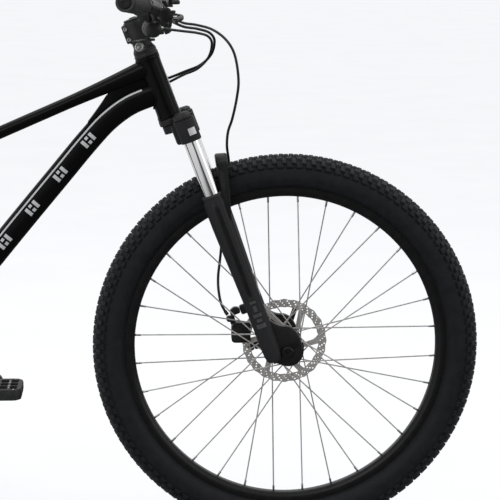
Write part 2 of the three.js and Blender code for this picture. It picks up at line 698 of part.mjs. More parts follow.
add('lower_headset_cup', sleeve(15, 23.6, CUP_LOW, HEAD_LOW, 18), SATIN_BLACK, steering);
add('head_tube', headTube(), GLOSS_BLACK, steering);
add('upper_headset_cup', sleeve(15, 22.6, HEAD_HIGH + GAP, SPACER_LOW - GAP, 18), STEEL, steering);
add('headset_spacer', turned(closed([[14.8, SPACER_LOW], [21.5, SPACER_LOW], [18, 156],
  [18, STEM_LOW - GAP], [14.8, STEM_LOW - GAP]]), 18), STEEL, steering);
add('stem', stem(), SATIN_BLACK, steering);
add('stem_faceplate', stemFaceplate(), SATIN_BLACK, steering);
add('stem_cap', turned([[0, STEM_HIGH + GAP], [18, STEM_HIGH + GAP], [17, STEM_HIGH + 4],
  [6, STEM_HIGH + 4], [5, STEM_HIGH + 6], [0, STEM_HIGH + 6]], ROUND), SATIN_BLACK, steering);
add('handlebar', handlebar(), SATIN_BLACK);
add('grip_right', grip(-1), RUBBER);
add('grip_left', grip(1), RUBBER);
add('brake_master_right', brakeMaster(-1), SATIN_BLACK);
add('brake_master_left', brakeMaster(1), SATIN_BLACK);
add('brake_lever_right', brakeLever(-1), SATIN_BLACK);
add('brake_lever_left', brakeLever(1), SATIN_BLACK);
add('shifter', shifter(), PLASTIC);
add('shifter_lever', shifterLever(), PLASTIC);

// ---------------------------------------------------------------- frame tubes
const inFrame = (geometry, place) => geometry.clone().applyMatrix4(place);
const onSteerAxis = (height) => V3(0, 0, height).applyMatrix4(steerPlace);
const onSeatAxis = (height) => V3(0, 0, height).applyMatrix4(seatPlace);
const BB_SHELL_HALF = 36.5;
const TOP_TUBE_HEAD = 116;
const TOP_TUBE_SEAT = 340;

function bbShell() {
  return turned(closed([
    [12.8, -44], [20, -44], [20, -37], [21, -BB_SHELL_HALF], [21, BB_SHELL_HALF],
    [20, 37], [20, 44], [12.8, 44],
  ]), 20, 'y').translate(BB_X, 0, BB_Z);
}

function headCore() {
  return inFrame(rod(22.2 + GAP, HEAD_LOW - 20, HEAD_HIGH + 20, 18), steerPlace);
}

function seatTube() {
  const radius = SEAT_TUBE_RADIUS;
  const bore = SEATPOST_RADIUS + GAP;
  const boreEnd = 152;
  return turned([
    [0, 0], [radius, 0], [radius, SEAT_TUBE_LENGTH], [bore, SEAT_TUBE_LENGTH], [bore, boreEnd], [0, boreEnd],
  ], ROUND).applyMatrix4(seatPlace);
}

function topTube(grow = 0) {
  const path = straight(onSeatAxis(TOP_TUBE_SEAT), onSteerAxis(TOP_TUBE_HEAD));
  return sweep(path, 8, 12, (t) => {
    const flare = Math.max(0, (t - 0.72) / 0.28) ** 1.6;
    return [16 + 4 * flare + grow, 11.3 + 7.5 * flare + grow];
  });
}

// The web welded along the down tube, which fills its corner with the top tube at the head tube.
const GUSSET_HALF_WIDTH = 9;
function headGusset() {
  const web = new THREE.Shape();
  web.moveTo(207, 770);
  web.lineTo(210, 781);
  web.quadraticCurveTo(228, 804, 243, 827);
  web.lineTo(262, 848);
  web.lineTo(330, 877);
  web.lineTo(344, 830);
  web.lineTo(288, 800);
  web.closePath();
  return plate(web, -GUSSET_HALF_WIDTH, GUSSET_HALF_WIDTH, 3);
}

const DOWN_TUBE_PATH = [
  V3(BB_X + 4, 0, BB_Z + 12), V3(46, 0, 548.7), V3(160, 0, 686), V3(212, 0, 748), V3(246, 0, 784),
  V3(286, 0, 813), V3(344, 0, 836),
];

function downTube(grow = 0) {
  return sweep(through(DOWN_TUBE_PATH), 14, 14, (t) => [19 + 4 * (1 - t) + grow, 22 + grow]);
}

// Stays: from the bottom bracket and the seat tube, round the tyre, to the dropouts.
function chainstayTube(side) {
  const path = through([
    V3(BB_X - 8, side * 24, BB_Z + 1), V3(-186, side * 34, 317), V3(-228, side * 43.5, 321),
    V3(-280, side * 50, 327), V3(-400, side * 58, 341), V3(-540, side * 72, 356.5),
  ]);
  return sweep(path, 10, 8, (t) => [6.5, 11.5 - 3.5 * t]);
}

function seatstayTube(side) {
  const path = through([
    V3(-238, side * 10, 634), V3(-262, side * 26, 618), V3(-292, side * 45, 595), V3(-330, side * 51, 565),
    V3(-450, side * 62, 471), V3(-556, side * 73, 386),
  ]);
  return sweep(path, 9, 8, () => [6.3, 8]);
}

function dropoutPlate(side) {
  const outline = new THREE.Shape();
  outline.moveTo(-532, 350);
  outline.lineTo(-536, 366);
  outline.quadraticCurveTo(-550, 376, -552, 396);
  outline.lineTo(-566, 396);
  outline.quadraticCurveTo(-596, 384, -593, 358);
  if (side < 0) {
    outline.lineTo(-586, 324);
    outline.quadraticCurveTo(-576, 312, -566, 324);
    outline.lineTo(-562, 338);
  } else {
    outline.quadraticCurveTo(-588, 336, -562, 338);
  }
  outline.closePath();
  const [near, far] = [REAR_HUB_HALF, REAR_HUB_HALF + 6];
  const [y0, y1] = side > 0 ? [near, far] : [-far, -near];
  return plate(outline, y0, y1, 4);
}

function chainstay(side) {
  const hubRoom = rod(5.4, -90, 90, SMALL_ROUND, 'y').translate(REAR_AXLE.x, 0, REAR_AXLE.z);
  const innerRoom = rod(84, -REAR_HUB_HALF, REAR_HUB_HALF, 24, 'y').translate(REAR_AXLE.x, 0, REAR_AXLE.z);
  const whole = cut(join(chainstayTube(side), dropoutPlate(side)), hubRoom, innerRoom);
  return cut(whole, bbCore(), downTube(GAP), seatCore());
}

function seatstay(side) {
  const innerRoom = rod(84, -REAR_HUB_HALF, REAR_HUB_HALF, 24, 'y').translate(REAR_AXLE.x, 0, REAR_AXLE.z);
  const [y0, y1] = side > 0 ? [REAR_HUB_HALF - GAP, 90] : [-90, -REAR_HUB_HALF + GAP];
  const plateRoom = box(-600, -530, y0, y1, 300, 396 + GAP);
  return cut(seatstayTube(side), seatCore(), topTube(GAP), innerRoom, plateRoom);
}

function bbCore() {
  return rod(21 + 2 * GAP, -60, 60, 20, 'y').translate(BB_X, 0, BB_Z);
}

function seatCore() {
  return inFrame(rod(SEAT_TUBE_RADIUS + 2 * GAP, 0, SEAT_TUBE_LENGTH, ROUND), seatPlace);
}

add('bb_shell', bbShell(), GLOSS_BLACK);
add('seat_tube', cut(seatTube(), bbCore()), GLOSS_BLACK);
add('top_tube', cut(topTube(), headCore(), seatCore()), GLOSS_BLACK);
const downTubeAndWeb = join(downTube(), headGusset());
add('down_tube', cut(downTubeAndWeb, headCore(), topTube(GAP), bbCore(), seatCore()), GLOSS_BLACK);
SIDES.forEach((side) => {
  const label = side < 0 ? 'right' : 'left';
  add(`chainstay_${label}`, chainstay(side), GLOSS_BLACK);
  add(`seatstay_${label}`, seatstay(side), GLOSS_BLACK);
});

// ---------------------------------------------------------------- seat
const COLLAR_LOW = 356;
const COLLAR_HIGH = 379;
const COLLAR_EAR_X = -27;

function seatCollar() {
  const ring = rod(22, COLLAR_LOW, COLLAR_HIGH, ROUND);
  const ears = box(-34, -19, -13, 13, COLLAR_LOW + 2, COLLAR_HIGH - 2);
  const bolt = rod(4, -19, 19, 8, 'y').translate(COLLAR_EAR_X, 0, (COLLAR_LOW + COLLAR_HIGH) / 2);
  const slit = box(-40, -12, -1.5, 1.5, COLLAR_LOW - 5, COLLAR_HIGH + 5);
  const tubeRoom = rod(SEAT_TUBE_RADIUS + 2 * GAP, COLLAR_LOW - 5, COLLAR_HIGH + 5, ROUND);
  return join(cut(join(ring, ears), tubeRoom, slit), bolt);
}

function collarLever() {
  const middle = (COLLAR_LOW + COLLAR_HIGH) / 2;
  const pinY = 19 + GAP + 8;
  const cam = rod(8, middle - 8, middle + 8, ROUND).translate(COLLAR_EAR_X, pinY, 0);
  const blade = sweep(through([V3(COLLAR_EAR_X, pinY, middle), V3(-10, 34, middle - 2),
    V3(12, 35, middle - 5), V3(30, 32, middle - 8)]), 5, 6, (t) => [2.6, 6 - 2 * t]);
  return join(cam, blade);
}

const SADDLE_X = -322;
const SADDLE_Z = 944;
const RAIL_Y = 22;
const RAIL_Z = 916;
const RAIL_POINTS = [
  V3(-430, -34, 929.5), V3(-404, -30, 923), V3(-372, -RAIL_Y, RAIL_Z), V3(-320, -RAIL_Y, RAIL_Z),
  V3(-275, -RAIL_Y, RAIL_Z), V3(-240, -17, 921), V3(-222, -8, 926), V3(-217, 0, 926.5),
];
const railPath = () => {
  const mirrored = RAIL_POINTS.slice(0, -1).reverse().map((p) => V3(p.x, -p.y, p.z));
  return through([...RAIL_POINTS, ...mirrored]);
};
const rails = (grow = 0) => sweep(railPath(), 26, 6, constant(3.5 + grow), ALONG_Z);

function seatpost() {
  const top = onSeatAxis(SEATPOST_TOP);
  const post = turned([[0, SEATPOST_BOTTOM], [SEATPOST_RADIUS, SEATPOST_BOTTOM],
    [SEATPOST_RADIUS, SEATPOST_TOP - 18], [11, SEATPOST_TOP + 4], [0, SEATPOST_TOP + 4]], ROUND)
    .applyMatrix4(seatPlace);
  const cradle = rod(13, -29, 29, 16, 'y').translate(top.x, 0, RAIL_Z);
  return cut(join(post, cradle), rails(GAP));
}

function saddle() {
  const path = straight(V3(SADDLE_X - 133, 0, SADDLE_Z + 4), V3(SADDLE_X + 137, 0, SADDLE_Z));
  const halfWidth = [
    [0, 30], [0.04, 52], [0.14, 72], [0.28, 68], [0.44, 44], [0.6, 26], [0.8, 20], [0.95, 18], [1, 10],
  ];
  const halfHeight = [[0, 8], [0.05, 13.5], [0.9, 13.5], [0.97, 11], [1, 6]];
  const read = (table, t) => {
    const i = Math.max(1, table.findIndex(([s]) => s >= t));
    const [[s0, v0], [s1, v1]] = [table[i - 1], table[i]];
    return v0 + ((v1 - v0) * (t - s0)) / (s1 - s0);
  };
  return sweep(path, 14, 12, (t) => [read(halfWidth, t), read(halfHeight, t)]);
}

add('seat_collar', seatCollar(), SATIN_BLACK, seat);
add('seat_collar_lever', collarLever(), SATIN_BLACK, seat);
add('seatpost', seatpost(), SATIN_BLACK);
add('saddle_rails', rails(), STEEL);
add('saddle', saddle(), PLASTIC);

// ---------------------------------------------------------------- drivetrain
const pitchRadius = (teeth) => (teeth * CHAIN_PITCH) / (2 * Math.PI);
const ROOT_DEPTH = 3.9;
const CHAIN_INSIDE = 3.4;
const CHAIN_OUTSIDE = 4.2;
const CHAIN_HALF_WIDTH = 2.7;
const GUIDE_PULLEY = V3(-565, -CHAIN_LINE, 262);
const TENSION_PULLEY = V3(-543, -CHAIN_LINE, 208);

function chainringAndArm() {
  const rootRadius = pitchRadius(CHAINRING_TEETH) - ROOT_DEPTH;
  const ring = sleeve(44, rootRadius, -CHAIN_LINE - 2, -CHAIN_LINE + 2, 32, 'y');
  const boss = rod(19, -80, -44 - 2 * GAP, ROUND, 'y');
  const arms = [0, 1, 2, 3].map((i) => box(0, 50, -CHAIN_LINE - 5, -CHAIN_LINE - 1, -6, 6)
    .rotateY(i * (Math.PI / 2) + Math.PI / 4));
  return join(ring, boss, ...arms, crankArm(-1));
}

function crankArm(side) {
  const reach = side < 0 ? CRANK_LENGTH : -CRANK_LENGTH;
  const inner = side * 64;
  const outer = side * 80;
  const middle = (inner + outer) / 2;
  const blade = sweep(straight(V3(0, middle, 0), V3(reach, middle + side, 0)), 1, 10, (t) => [8, 15 - 4 * t]);
  const eye = rod(14.5, Math.min(inner, outer) + 1, Math.max(inner, outer), ROUND, 'y')
    .translate(reach, 0, 0);
  return join(blade, eye);
}

function leftCrankAndSpindle() {
  const spindle = rod(12, -44, 60, ROUND, 'y');
  const boss = rod(19, 44 + 2 * GAP, 80, ROUND, 'y');
  return join(spindle, boss, crankArm(1));
}

function pedal(side) {
  const platform = new THREE.Shape();
  const [a, b] = [PEDAL_LENGTH / 2, PEDAL_WIDTH / 2];
  platform.moveTo(-a + 10, -b);
  platform.lineTo(a - 10, -b);
  platform.quadraticCurveTo(a, -b, a, -b + 12);
  platform.lineTo(a, b - 12);
  platform.quadraticCurveTo(a, b, a - 10, b);
  platform.lineTo(-a + 10, b);
  platform.quadraticCurveTo(-a, b, -a, b - 12);
  platform.lineTo(-a, -b + 12);
  platform.quadraticCurveTo(-a, -b, -a + 10, -b);
  const body = new THREE.ExtrudeGeometry(platform, {
    depth: PEDAL_THICKNESS, bevelEnabled: false, curveSegments: 3,
  });
  body.translate(0, side * PEDAL_CENTRE_Y, -PEDAL_THICKNESS / 2);
  const near = side < 0 ? [-PEDAL_CENTRE_Y, -81 - GAP] : [81 + GAP, PEDAL_CENTRE_Y];
  const pin = rod(7, near[0], near[1], SMALL_ROUND, 'y');
  const middle = side * PEDAL_CENTRE_Y;
  const windows = SIDES.map((end) => {
    const [x0, x1] = end > 0 ? [14, a - 8] : [8 - a, -14];
    return box(x0, x1, middle - b + 10, middle + b - 10, -PEDAL_THICKNESS, PEDAL_THICKNESS);
  });
  const reach = side < 0 ? CRANK_LENGTH : -CRANK_LENGTH;
  return cut(join(outward(body), pin), ...windows).translate(reach, 0, 0);
}

// The cassette as its stepped outline, one cog next to another.
function cassette() {
  const outline = [[9.5, CASSETTE_START_Y]];
  COG_TEETH.forEach((teeth, i) => {
    const radius = pitchRadius(teeth) - ROOT_DEPTH;
    outline.push([radius, CASSETTE_START_Y - i * COG_PITCH_Y + (i > 0 ? 2 : 0)]);
    outline.push([radius, CASSETTE_START_Y - i * COG_PITCH_Y - 2]);
  });
  outline.push([9.5, CASSETTE_START_Y - (COG_TEETH.length - 1) * COG_PITCH_Y - 2]);
  return turned(closed(outline), 16, 'y');
}

// A closed chain path round toothed wheels; turn is 1 where the chain passes anticlockwise.
function chainPath(wheels) {
  const count = wheels.length;
  const legs = wheels.map((from, i) => {
    const to = wheels[(i + 1) % count];
    const [dx, dz] = [to.x - from.x, to.z - from.z];
    const lean = Math.asin((to.turn * to.radius - from.turn * from.radius) / Math.hypot(dx, dz));
    const heading = Math.atan2(dz, dx) - lean;
    const normal = V2(-Math.sin(heading), Math.cos(heading));
    const touch = (wheel) => V2(wheel.x, wheel.z).addScaledVector(normal, -wheel.turn * wheel.radius);
    return [touch(from), touch(to)];
  });
  const points = [];
  wheels.forEach((wheel, i) => {
    const arrive = legs[(i + count - 1) % count][1];
    const leave = legs[i][0];
    const start = Math.atan2(arrive.y - wheel.z, arrive.x - wheel.x);
    const end = Math.atan2(leave.y - wheel.z, leave.x - wheel.x);
    const turnBy = wheel.turn * THREE.MathUtils.euclideanModulo(wheel.turn * (end - start), 2 * Math.PI);
    const steps = Math.max(3, Math.round(Math.abs(turnBy) / (11 * DEG)));
    for (let k = 0; k <= steps; k += 1) {
      const angle = start + (turnBy * k) / steps;
      points.push(V2(wheel.x + wheel.radius * Math.cos(angle), wheel.z + wheel.radius * Math.sin(angle)));
    }
  });
  return points;
}

function chain() {
  const wheel = (centre, teeth, turn) => ({ x: centre.x, z: centre.z, radius: pitchRadius(teeth), turn });
  const path = chainPath([
    wheel(BOTTOM_BRACKET, CHAINRING_TEETH, 1), wheel(REAR_AXLE, COG_TEETH[CHAIN_COG], 1),
    wheel(GUIDE_PULLEY, PULLEY_TEETH, -1), wheel(TENSION_PULLEY, PULLEY_TEETH, 1),
  ]);
  const edge = (depth) => path.map((spot, i) => {
    const before = path[(i + path.length - 1) % path.length];
    const after = path[(i + 1) % path.length];
    const ahead = after.clone().sub(before).normalize();
    return spot.clone().add(V2(ahead.y, -ahead.x).multiplyScalar(depth));
  });
  const band = new THREE.Shape(edge(CHAIN_OUTSIDE));
  band.holes.push(new THREE.Path(edge(-CHAIN_INSIDE)));
  return plate(band, -CHAIN_LINE - CHAIN_HALF_WIDTH, -CHAIN_LINE + CHAIN_HALF_WIDTH, 1);
}

function pulley(centre) {
  return sleeve(3.5, pitchRadius(PULLEY_TEETH) - ROOT_DEPTH - 0.6, -1.4, 1.4, ROUND, 'y')
    .translate(centre.x, centre.y, centre.z);
}

const CAGE_INNER_Y = [-46.4, -44.9];
const CAGE_OUTER_Y = [-57.6, -55.8];
function derailleurCage() {
  const side = ([y0, y1]) => {
    const outline = new THREE.Shape();
    const [a, b] = [GUIDE_PULLEY, TENSION_PULLEY];
    const heading = Math.atan2(b.z - a.z, b.x - a.x);
    outline.absarc(a.x, a.z, 11, heading + Math.PI / 2, heading - Math.PI / 2, false);
    outline.absarc(b.x, b.z, 10, heading - Math.PI / 2, heading + Math.PI / 2, false);
    outline.closePath();
    return plate(outline, y0, y1, 4);
  };
  const pins = [GUIDE_PULLEY, TENSION_PULLEY].map((centre) => rod(2.9, -57, -45.5, 8, 'y')
    .translate(centre.x, 0, centre.z));
  return join(side(CAGE_INNER_Y), side(CAGE_OUTER_Y), ...pins);
}

const HANGER = V3(-574, 0, 324);
function derailleurBody() {
  const upperKnuckle = rod(11, -95, -77, 12, 'y').translate(HANGER.x, 0, HANGER.z);
  const run = straight(V3(HANGER.x - 4, -87, HANGER.z - 4), V3(GUIDE_PULLEY.x, -74, GUIDE_PULLEY.z));
  const link = sweep(run, 2, 10, constant(9.5));
  const lowerKnuckle = rod(12.5, -84, -58 - 0.2, 12, 'y').translate(GUIDE_PULLEY.x, 0, GUIDE_PULLEY.z);
  return join(upperKnuckle, link, lowerKnuckle);
}

add('cassette', cassette(), STEEL, rearWheel);
add('crank_right', chainringAndArm(), SATIN_BLACK, cranks);
add('crank_left', leftCrankAndSpindle(), SATIN_BLACK, cranks);
add('pedal_right', pedal(-1), PLASTIC, cranks);
add('pedal_left', pedal(1), PLASTIC, cranks);
add('chain', chain(), STEEL);
add('derailleur_body', derailleurBody(), SATIN_BLACK);
add('derailleur_cage', derailleurCage(), SATIN_BLACK);
add('upper_jockey_wheel', pulley(GUIDE_PULLEY), PLASTIC);
add('lower_jockey_wheel', pulley(TENSION_PULLEY), PLASTIC);

// ---------------------------------------------------------------- rear brake
const REAR_CALIPER = V3(-505, 0, 397);
function rearCaliper() {
  const body = caliperBlock(48, 27, 43, 60.5).rotateY(35 * DEG).translate(REAR_CALIPER.x, 0, REAR_CALIPER.z);
  const slot = rod(ROTOR_RADIUS + 3, REAR_ROTOR_Y - 2, REAR_ROTOR_Y + 2, 40, 'y')
    .translate(REAR_AXLE.x, 0, REAR_AXLE.z);
  return cut(body, slot);
}
add('rear_caliper', rearCaliper(), SATIN_BLACK);

// ---------------------------------------------------------------- hoses and housing
// Each runs whole, from its lever or shifter to the brake or derailleur that it works.
const HOSE_RADIUS = 2.5;
const HOUSING_RADIUS = 2.4;
const onFork = (x, y, z) => V3(x, y, z).applyMatrix4(steerPlace);

const FRONT_HOSE = [
  V3(347, 174, 984), V3(359, 152, 972), V3(383, 118, 954), V3(412, 95, 950), V3(440, 70, 943),
  V3(464, 50, 926), V3(479, 38, 902), V3(487, 33, 852), V3(484, 35, 820), V3(475, 39, 778),
  onFork(90, 43, -50), onFork(79, 46, -73), onFork(73, 58, -98), onFork(67, 76, -124), onFork(60, 91, -148),
  onFork(45, 97, -177), onFork(25, 96, -208), onFork(8, 89, -238), onFork(-3, 80, -262), onFork(-13, 71, -281),
  onFork(-24, 64, -302), onFork(-32, 58, -324), onFork(-37, 53, -352), onFork(-35, 49, -368),
  onFork(-33, 48, -375.5),
];

const REAR_HOSE = [
  V3(347, -174, 984), V3(359, -150, 974), V3(383, -112, 960), V3(410, -70, 953), V3(433, -32, 943),
  V3(442, 0, 926), V3(436, 22, 900), V3(416, 32, 880), V3(390, 35, 869), V3(362, 33, 858), V3(335, 31, 849),
  V3(312, 29, 838), V3(282, 25, 819), V3(241, 24, 786), V3(205, 24, 750), V3(155, 24.8, 690),
  V3(41, 26.2, 553), V3(-60, 27.6, 431), V3(-100, 28.5, 384), V3(-127, 29.5, 354), V3(-152, 31, 342),
  V3(-188, 35, 334), V3(-228, 43.5, 337), V3(-280, 50, 342), V3(-400, 59.5, 356), V3(-440, 62, 366),
  V3(-462, 59, 377), V3(-476, 56, 386),
];

const SHIFT_HOUSING = [
  V3(341, -178, 962), V3(356, -158, 958), V3(384, -118, 952), V3(410, -76, 946), V3(430, -36, 937),
  V3(437, -3, 921), V3(431, 18, 895), V3(411, 26, 874), V3(386, 29, 863), V3(360, 27.5, 850),
  V3(336, 26.5, 838), V3(312, 25.5, 824), V3(288, 24, 808), V3(252, 23.4, 778),
  V3(216, 23.8, 742), V3(166, 24.6, 681),
  V3(52, 26, 544), V3(-50, 27.5, 422), V3(-72, 28, 390), V3(-80, 25, 350), V3(-96, 14, 306),
  V3(-122, -4, 286), V3(-152, -20, 287), V3(-186, -33, 300), V3(-228, -43.5, 305), V3(-280, -50, 312),
  V3(-400, -58, 327.5), V3(-490, -67, 338), V3(-520, -82, 332), V3(-545, -97, 308), V3(-572, -104, 287),
  V3(-598, -99, 284), V3(-602, -90, 296), V3(-587, -85, 304),
];

add('front_brake_hose', cord(FRONT_HOSE, HOSE_RADIUS, 36), HOSE);
add('rear_brake_hose', cord(REAR_HOSE, HOSE_RADIUS, 46), HOSE);
add('shift_housing', cord(SHIFT_HOUSING, HOUSING_RADIUS, 54), HOSE);

export default bike;
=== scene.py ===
"""Looks for a hardtail mountain bike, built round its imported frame.

Lengths in this script are millimetres until piece() turns them into metres. +X is forward,
+Y the rider's left and +Z up, as in the frame.
"""
import json
import math
import random

import bmesh
import bpy
import numpy as np
from mathutils import Matrix, Vector


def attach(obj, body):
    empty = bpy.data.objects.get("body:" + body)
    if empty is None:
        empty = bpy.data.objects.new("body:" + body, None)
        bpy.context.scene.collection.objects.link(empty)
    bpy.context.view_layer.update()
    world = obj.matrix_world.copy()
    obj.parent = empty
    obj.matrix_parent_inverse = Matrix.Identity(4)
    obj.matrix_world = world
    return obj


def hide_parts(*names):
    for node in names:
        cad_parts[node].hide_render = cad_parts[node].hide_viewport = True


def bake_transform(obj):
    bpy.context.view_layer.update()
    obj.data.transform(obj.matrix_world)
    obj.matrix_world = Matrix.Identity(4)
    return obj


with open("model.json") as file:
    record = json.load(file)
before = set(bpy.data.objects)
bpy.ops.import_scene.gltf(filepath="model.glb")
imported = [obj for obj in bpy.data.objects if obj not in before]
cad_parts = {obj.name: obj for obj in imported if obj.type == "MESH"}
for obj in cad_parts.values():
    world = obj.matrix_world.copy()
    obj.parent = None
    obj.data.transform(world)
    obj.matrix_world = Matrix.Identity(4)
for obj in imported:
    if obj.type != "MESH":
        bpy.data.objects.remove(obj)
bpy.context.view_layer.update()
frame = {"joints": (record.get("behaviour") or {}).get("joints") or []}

MM = 0.001
PI = math.pi
DEG = PI / 180
SIDES = (-1, 1)
X, Y, Z = Vector((1, 0, 0)), Vector((0, 1, 0)), Vector((0, 0, 1))


# ------------------------------------------------------------------ places, from the frame
def joint(name):
    return next(j for j in frame["joints"] if j["name"] == name)


def spot(name):
    return Vector(joint(name)["pos_m"]) / MM


def frame_at(origin, up):
    """A frame whose z runs along up and whose y stays level."""
    up = Vector(up).normalized()
    ahead = Y.cross(up).normalized()
    rows = Matrix((ahead, up.cross(ahead), up)).transposed().to_4x4()
    return Matrix.Translation(origin) @ rows


STEER = frame_at(spot("steering_turn"), joint("steering_turn")["axis"])
STEER_TILT = math.atan2(-STEER[0][2], STEER[2][2])
FRONT_AXLE = spot("front_wheel_spin")
REAR_AXLE = spot("rear_wheel_spin")
CRANK_AXLE = spot("crank_spin")
SEAT = frame_at(CRANK_AXLE, joint("seatpost_slide")["axis"])
GUIDE = spot("upper_jockey_spin")
TENSION = spot("lower_jockey_spin")
ABOUT_Y = Matrix.Rotation(-PI / 2, 4, "X")      # turns a shape's own z to +Y
CRANK_LINE = Matrix.Translation(CRANK_AXLE) @ ABOUT_Y

# ------------------------------------------------------------------ sizes, as in the solids
RIM_BED = 281
RIM_HOOK = 299
RIM_HALF = 16
SPOKES_PER_SIDE = 16
SPOKE_CROSSES = 3
FLANGE_RADIUS = 29
FRONT_ROTOR_Y = 39.5
REAR_ROTOR_Y = 55
LEG = (22.5, 65)
STANCHION = 15
FORK_FOOT = (49.5, -458)
REAR_HUB_HALF = 70.5
STEM_LOW = 166
STEM_HIGH = 206
STEM_LENGTH = 45
BAR_HEIGHT = 186
BAR_RADIUS = 11.1
BAR_CLAMP = 15.9
BAR_HALF = 385
BEND_Y = 130                      # where the bar's straight ends begin
BEND_BACK = 9
BAR_RISE = 32
BACK_SWEEP = 11 * DEG
UP_SWEEP = 5 * DEG
MASTER_Y = 232
SHIFTER_Y = -204
SEAT_TUBE_LENGTH = 375
SEATPOST = 15.45
SEATPOST_TOP = 622
CHAIN_PITCH = 12.7
CHAIN_LINE = 51
RING_TEETH = 30
COGS = (36, 32, 28, 24, 21, 18, 15, 13, 11)
CHAIN_COG = 5
PULLEY_TEETH = 11
CRANK_LENGTH = 175
PEDAL_Y = 141
RAIL_Z = 916
BAR_CENTRE = STEER @ Vector((STEM_LENGTH, 0, BAR_HEIGHT))


# ------------------------------------------------------------------ shapes
class Shape:
    """Points and faces in millimetres, with a material number for each face."""

    def __init__(self, points=(), faces=(), paint=0):
        self.points = [Vector(p) for p in points]
        self.faces = [tuple(f) for f in faces]
        self.paints = [paint] * len(self.faces)

    def add(self, other, place=None, paint=None):
        start = len(self.points)
        self.points += [place @ p if place else p.copy() for p in other.points]
        self.faces += [tuple(i + start for i in f) for f in other.faces]
        self.paints += other.paints if paint is None else [paint] * len(other.faces)
        return self

    def at(self, place):
        self.points = [place @ p for p in self.points]
        return self


def move(x, y, z):
    return Matrix.Translation((x, y, z))


def rounded(outline, radius, steps=3, closed=True):
    """The outline with each corner rounded off; a corner's third number sets its own radius."""
    count = len(outline)
    points = []
    for i, corner in enumerate(outline):
        here = Vector(corner[:2])
        own = corner[2] if len(corner) > 2 else radius
        if own == 0 or (not closed and i in (0, count - 1)):
            points.append(here)
            continue
        before = Vector(outline[i - 1][:2]) - here
        after = Vector(outline[(i + 1) % count][:2]) - here
        cut = min(own, 0.48 * before.length, 0.48 * after.length)
        a, b = here + before.normalized() * cut, here + after.normalized() * cut
        for k in range(steps + 1):
            t = k / steps
            points.append(a * (1 - t) ** 2 + here * 2 * t * (1 - t) + b * t * t)
    return [(p.x, p.y) for p in points]


def lathe(outline, sides=48):
    """Turned about z from (radius, height) points. An outline off the axis closes on itself."""
    shape = Shape()
    rings = []
    for r, h in outline:
        if r < 1e-6:
            rings.append([len(shape.points)])
            shape.points.append(Vector((0, 0, h)))
            continue
        rings.append(list(range(len(shape.points), len(shape.points) + sides)))
        for k in range(sides):
            turn = 2 * PI * k / sides
            shape.points.append(Vector((r * math.cos(turn), r * math.sin(turn), h)))
    solid = outline[0][0] < 1e-6
    pairs = zip(rings, rings[1:] if solid else rings[1:] + rings[:1])
    for low, high in pairs:
        for k in range(sides):
            n = (k + 1) % sides
            if len(low) == 1 and len(high) == 1:
                continue
            if len(low) == 1:
                shape.faces.append((low[0], high[k], high[n]))
            elif len(high) == 1:
                shape.faces.append((low[k], high[0], low[n]))
            else:
                shape.faces.append((low[k], high[k], high[n], low[n]))
    shape.paints = [0] * len(shape.faces)
    return shape


def turned(outline, edge, sides, steps=3):
    """A solid turned about z from an open outline whose corners are rounded off."""
    return lathe(rounded(outline, edge, steps, closed=False), sides)


def rod(radius, low, high, sides=24, edge=0.6):
    outline = [(0, low, 0), (radius, low), (radius, high), (0, high, 0)]
    return turned(outline, edge, sides, 2)


def sleeve(inner, outer, low, high, sides=40, edge=0.6):
    return lathe(rounded([(inner, low), (outer, low), (outer, high), (inner, high)], edge, 2), sides)


class Route:
    """A smooth centripetal curve through points, measured along its length."""

    def __init__(self, points, fine=16):
        points = [Vector(p) for p in points]
        ends = [points[0] * 2 - points[1], *points, points[-1] * 2 - points[-2]]
        self.line = []
        for a, b, c, d in zip(ends, ends[1:], ends[2:], ends[3:]):
            t1 = max((b - a).length ** 0.5, 1e-6)
            t2 = t1 + max((c - b).length ** 0.5, 1e-6)
            t3 = t2 + max((d - c).length ** 0.5, 1e-6)
            for k in range(fine):
                t = t1 + (t2 - t1) * k / fine
                ab = a.lerp(b, t / t1)
                bc = b.lerp(c, (t - t1) / (t2 - t1))
                cd = c.lerp(d, (t - t2) / (t3 - t2))
                abc = ab.lerp(bc, t / t2)
                bcd = bc.lerp(cd, (t - t1) / (t3 - t1))
                self.line.append(abc.lerp(bcd, (t - t1) / (t2 - t1)))
        self.line.append(points[-1])
        self.marks = [0.0]
        for a, b in zip(self.line, self.line[1:]):
            self.marks.append(self.marks[-1] + (b - a).length)
        self.length = self.marks[-1]

    def at(self, t):
        want = min(max(t, 0), 1) * self.length
        i = min(int(np.searchsorted(self.marks, want, side="right")), len(self.line) - 1)
        span = self.marks[i] - self.marks[i - 1]
        return self.line[i - 1].lerp(self.line[i], (want - self.marks[i - 1]) / span if span else 0)

    def ahead(self, t):
        step = 0.5 / self.length
        return (self.at(t + step) - self.at(t - step)).normalized()


def steady(radius):
    return lambda t: (radius, radius)


def ring_offsets(sides, power=2):
    """Unit points round a circle, or a squarer curve when power is over 2."""
    points = []
    for k in range(sides):
        turn = 2 * PI * k / sides
        c, s = math.cos(turn), math.sin(turn)
        points.append((math.copysign(abs(c) ** (2 / power), c), math.copysign(abs(s) ** (2 / power), s)))
    return points


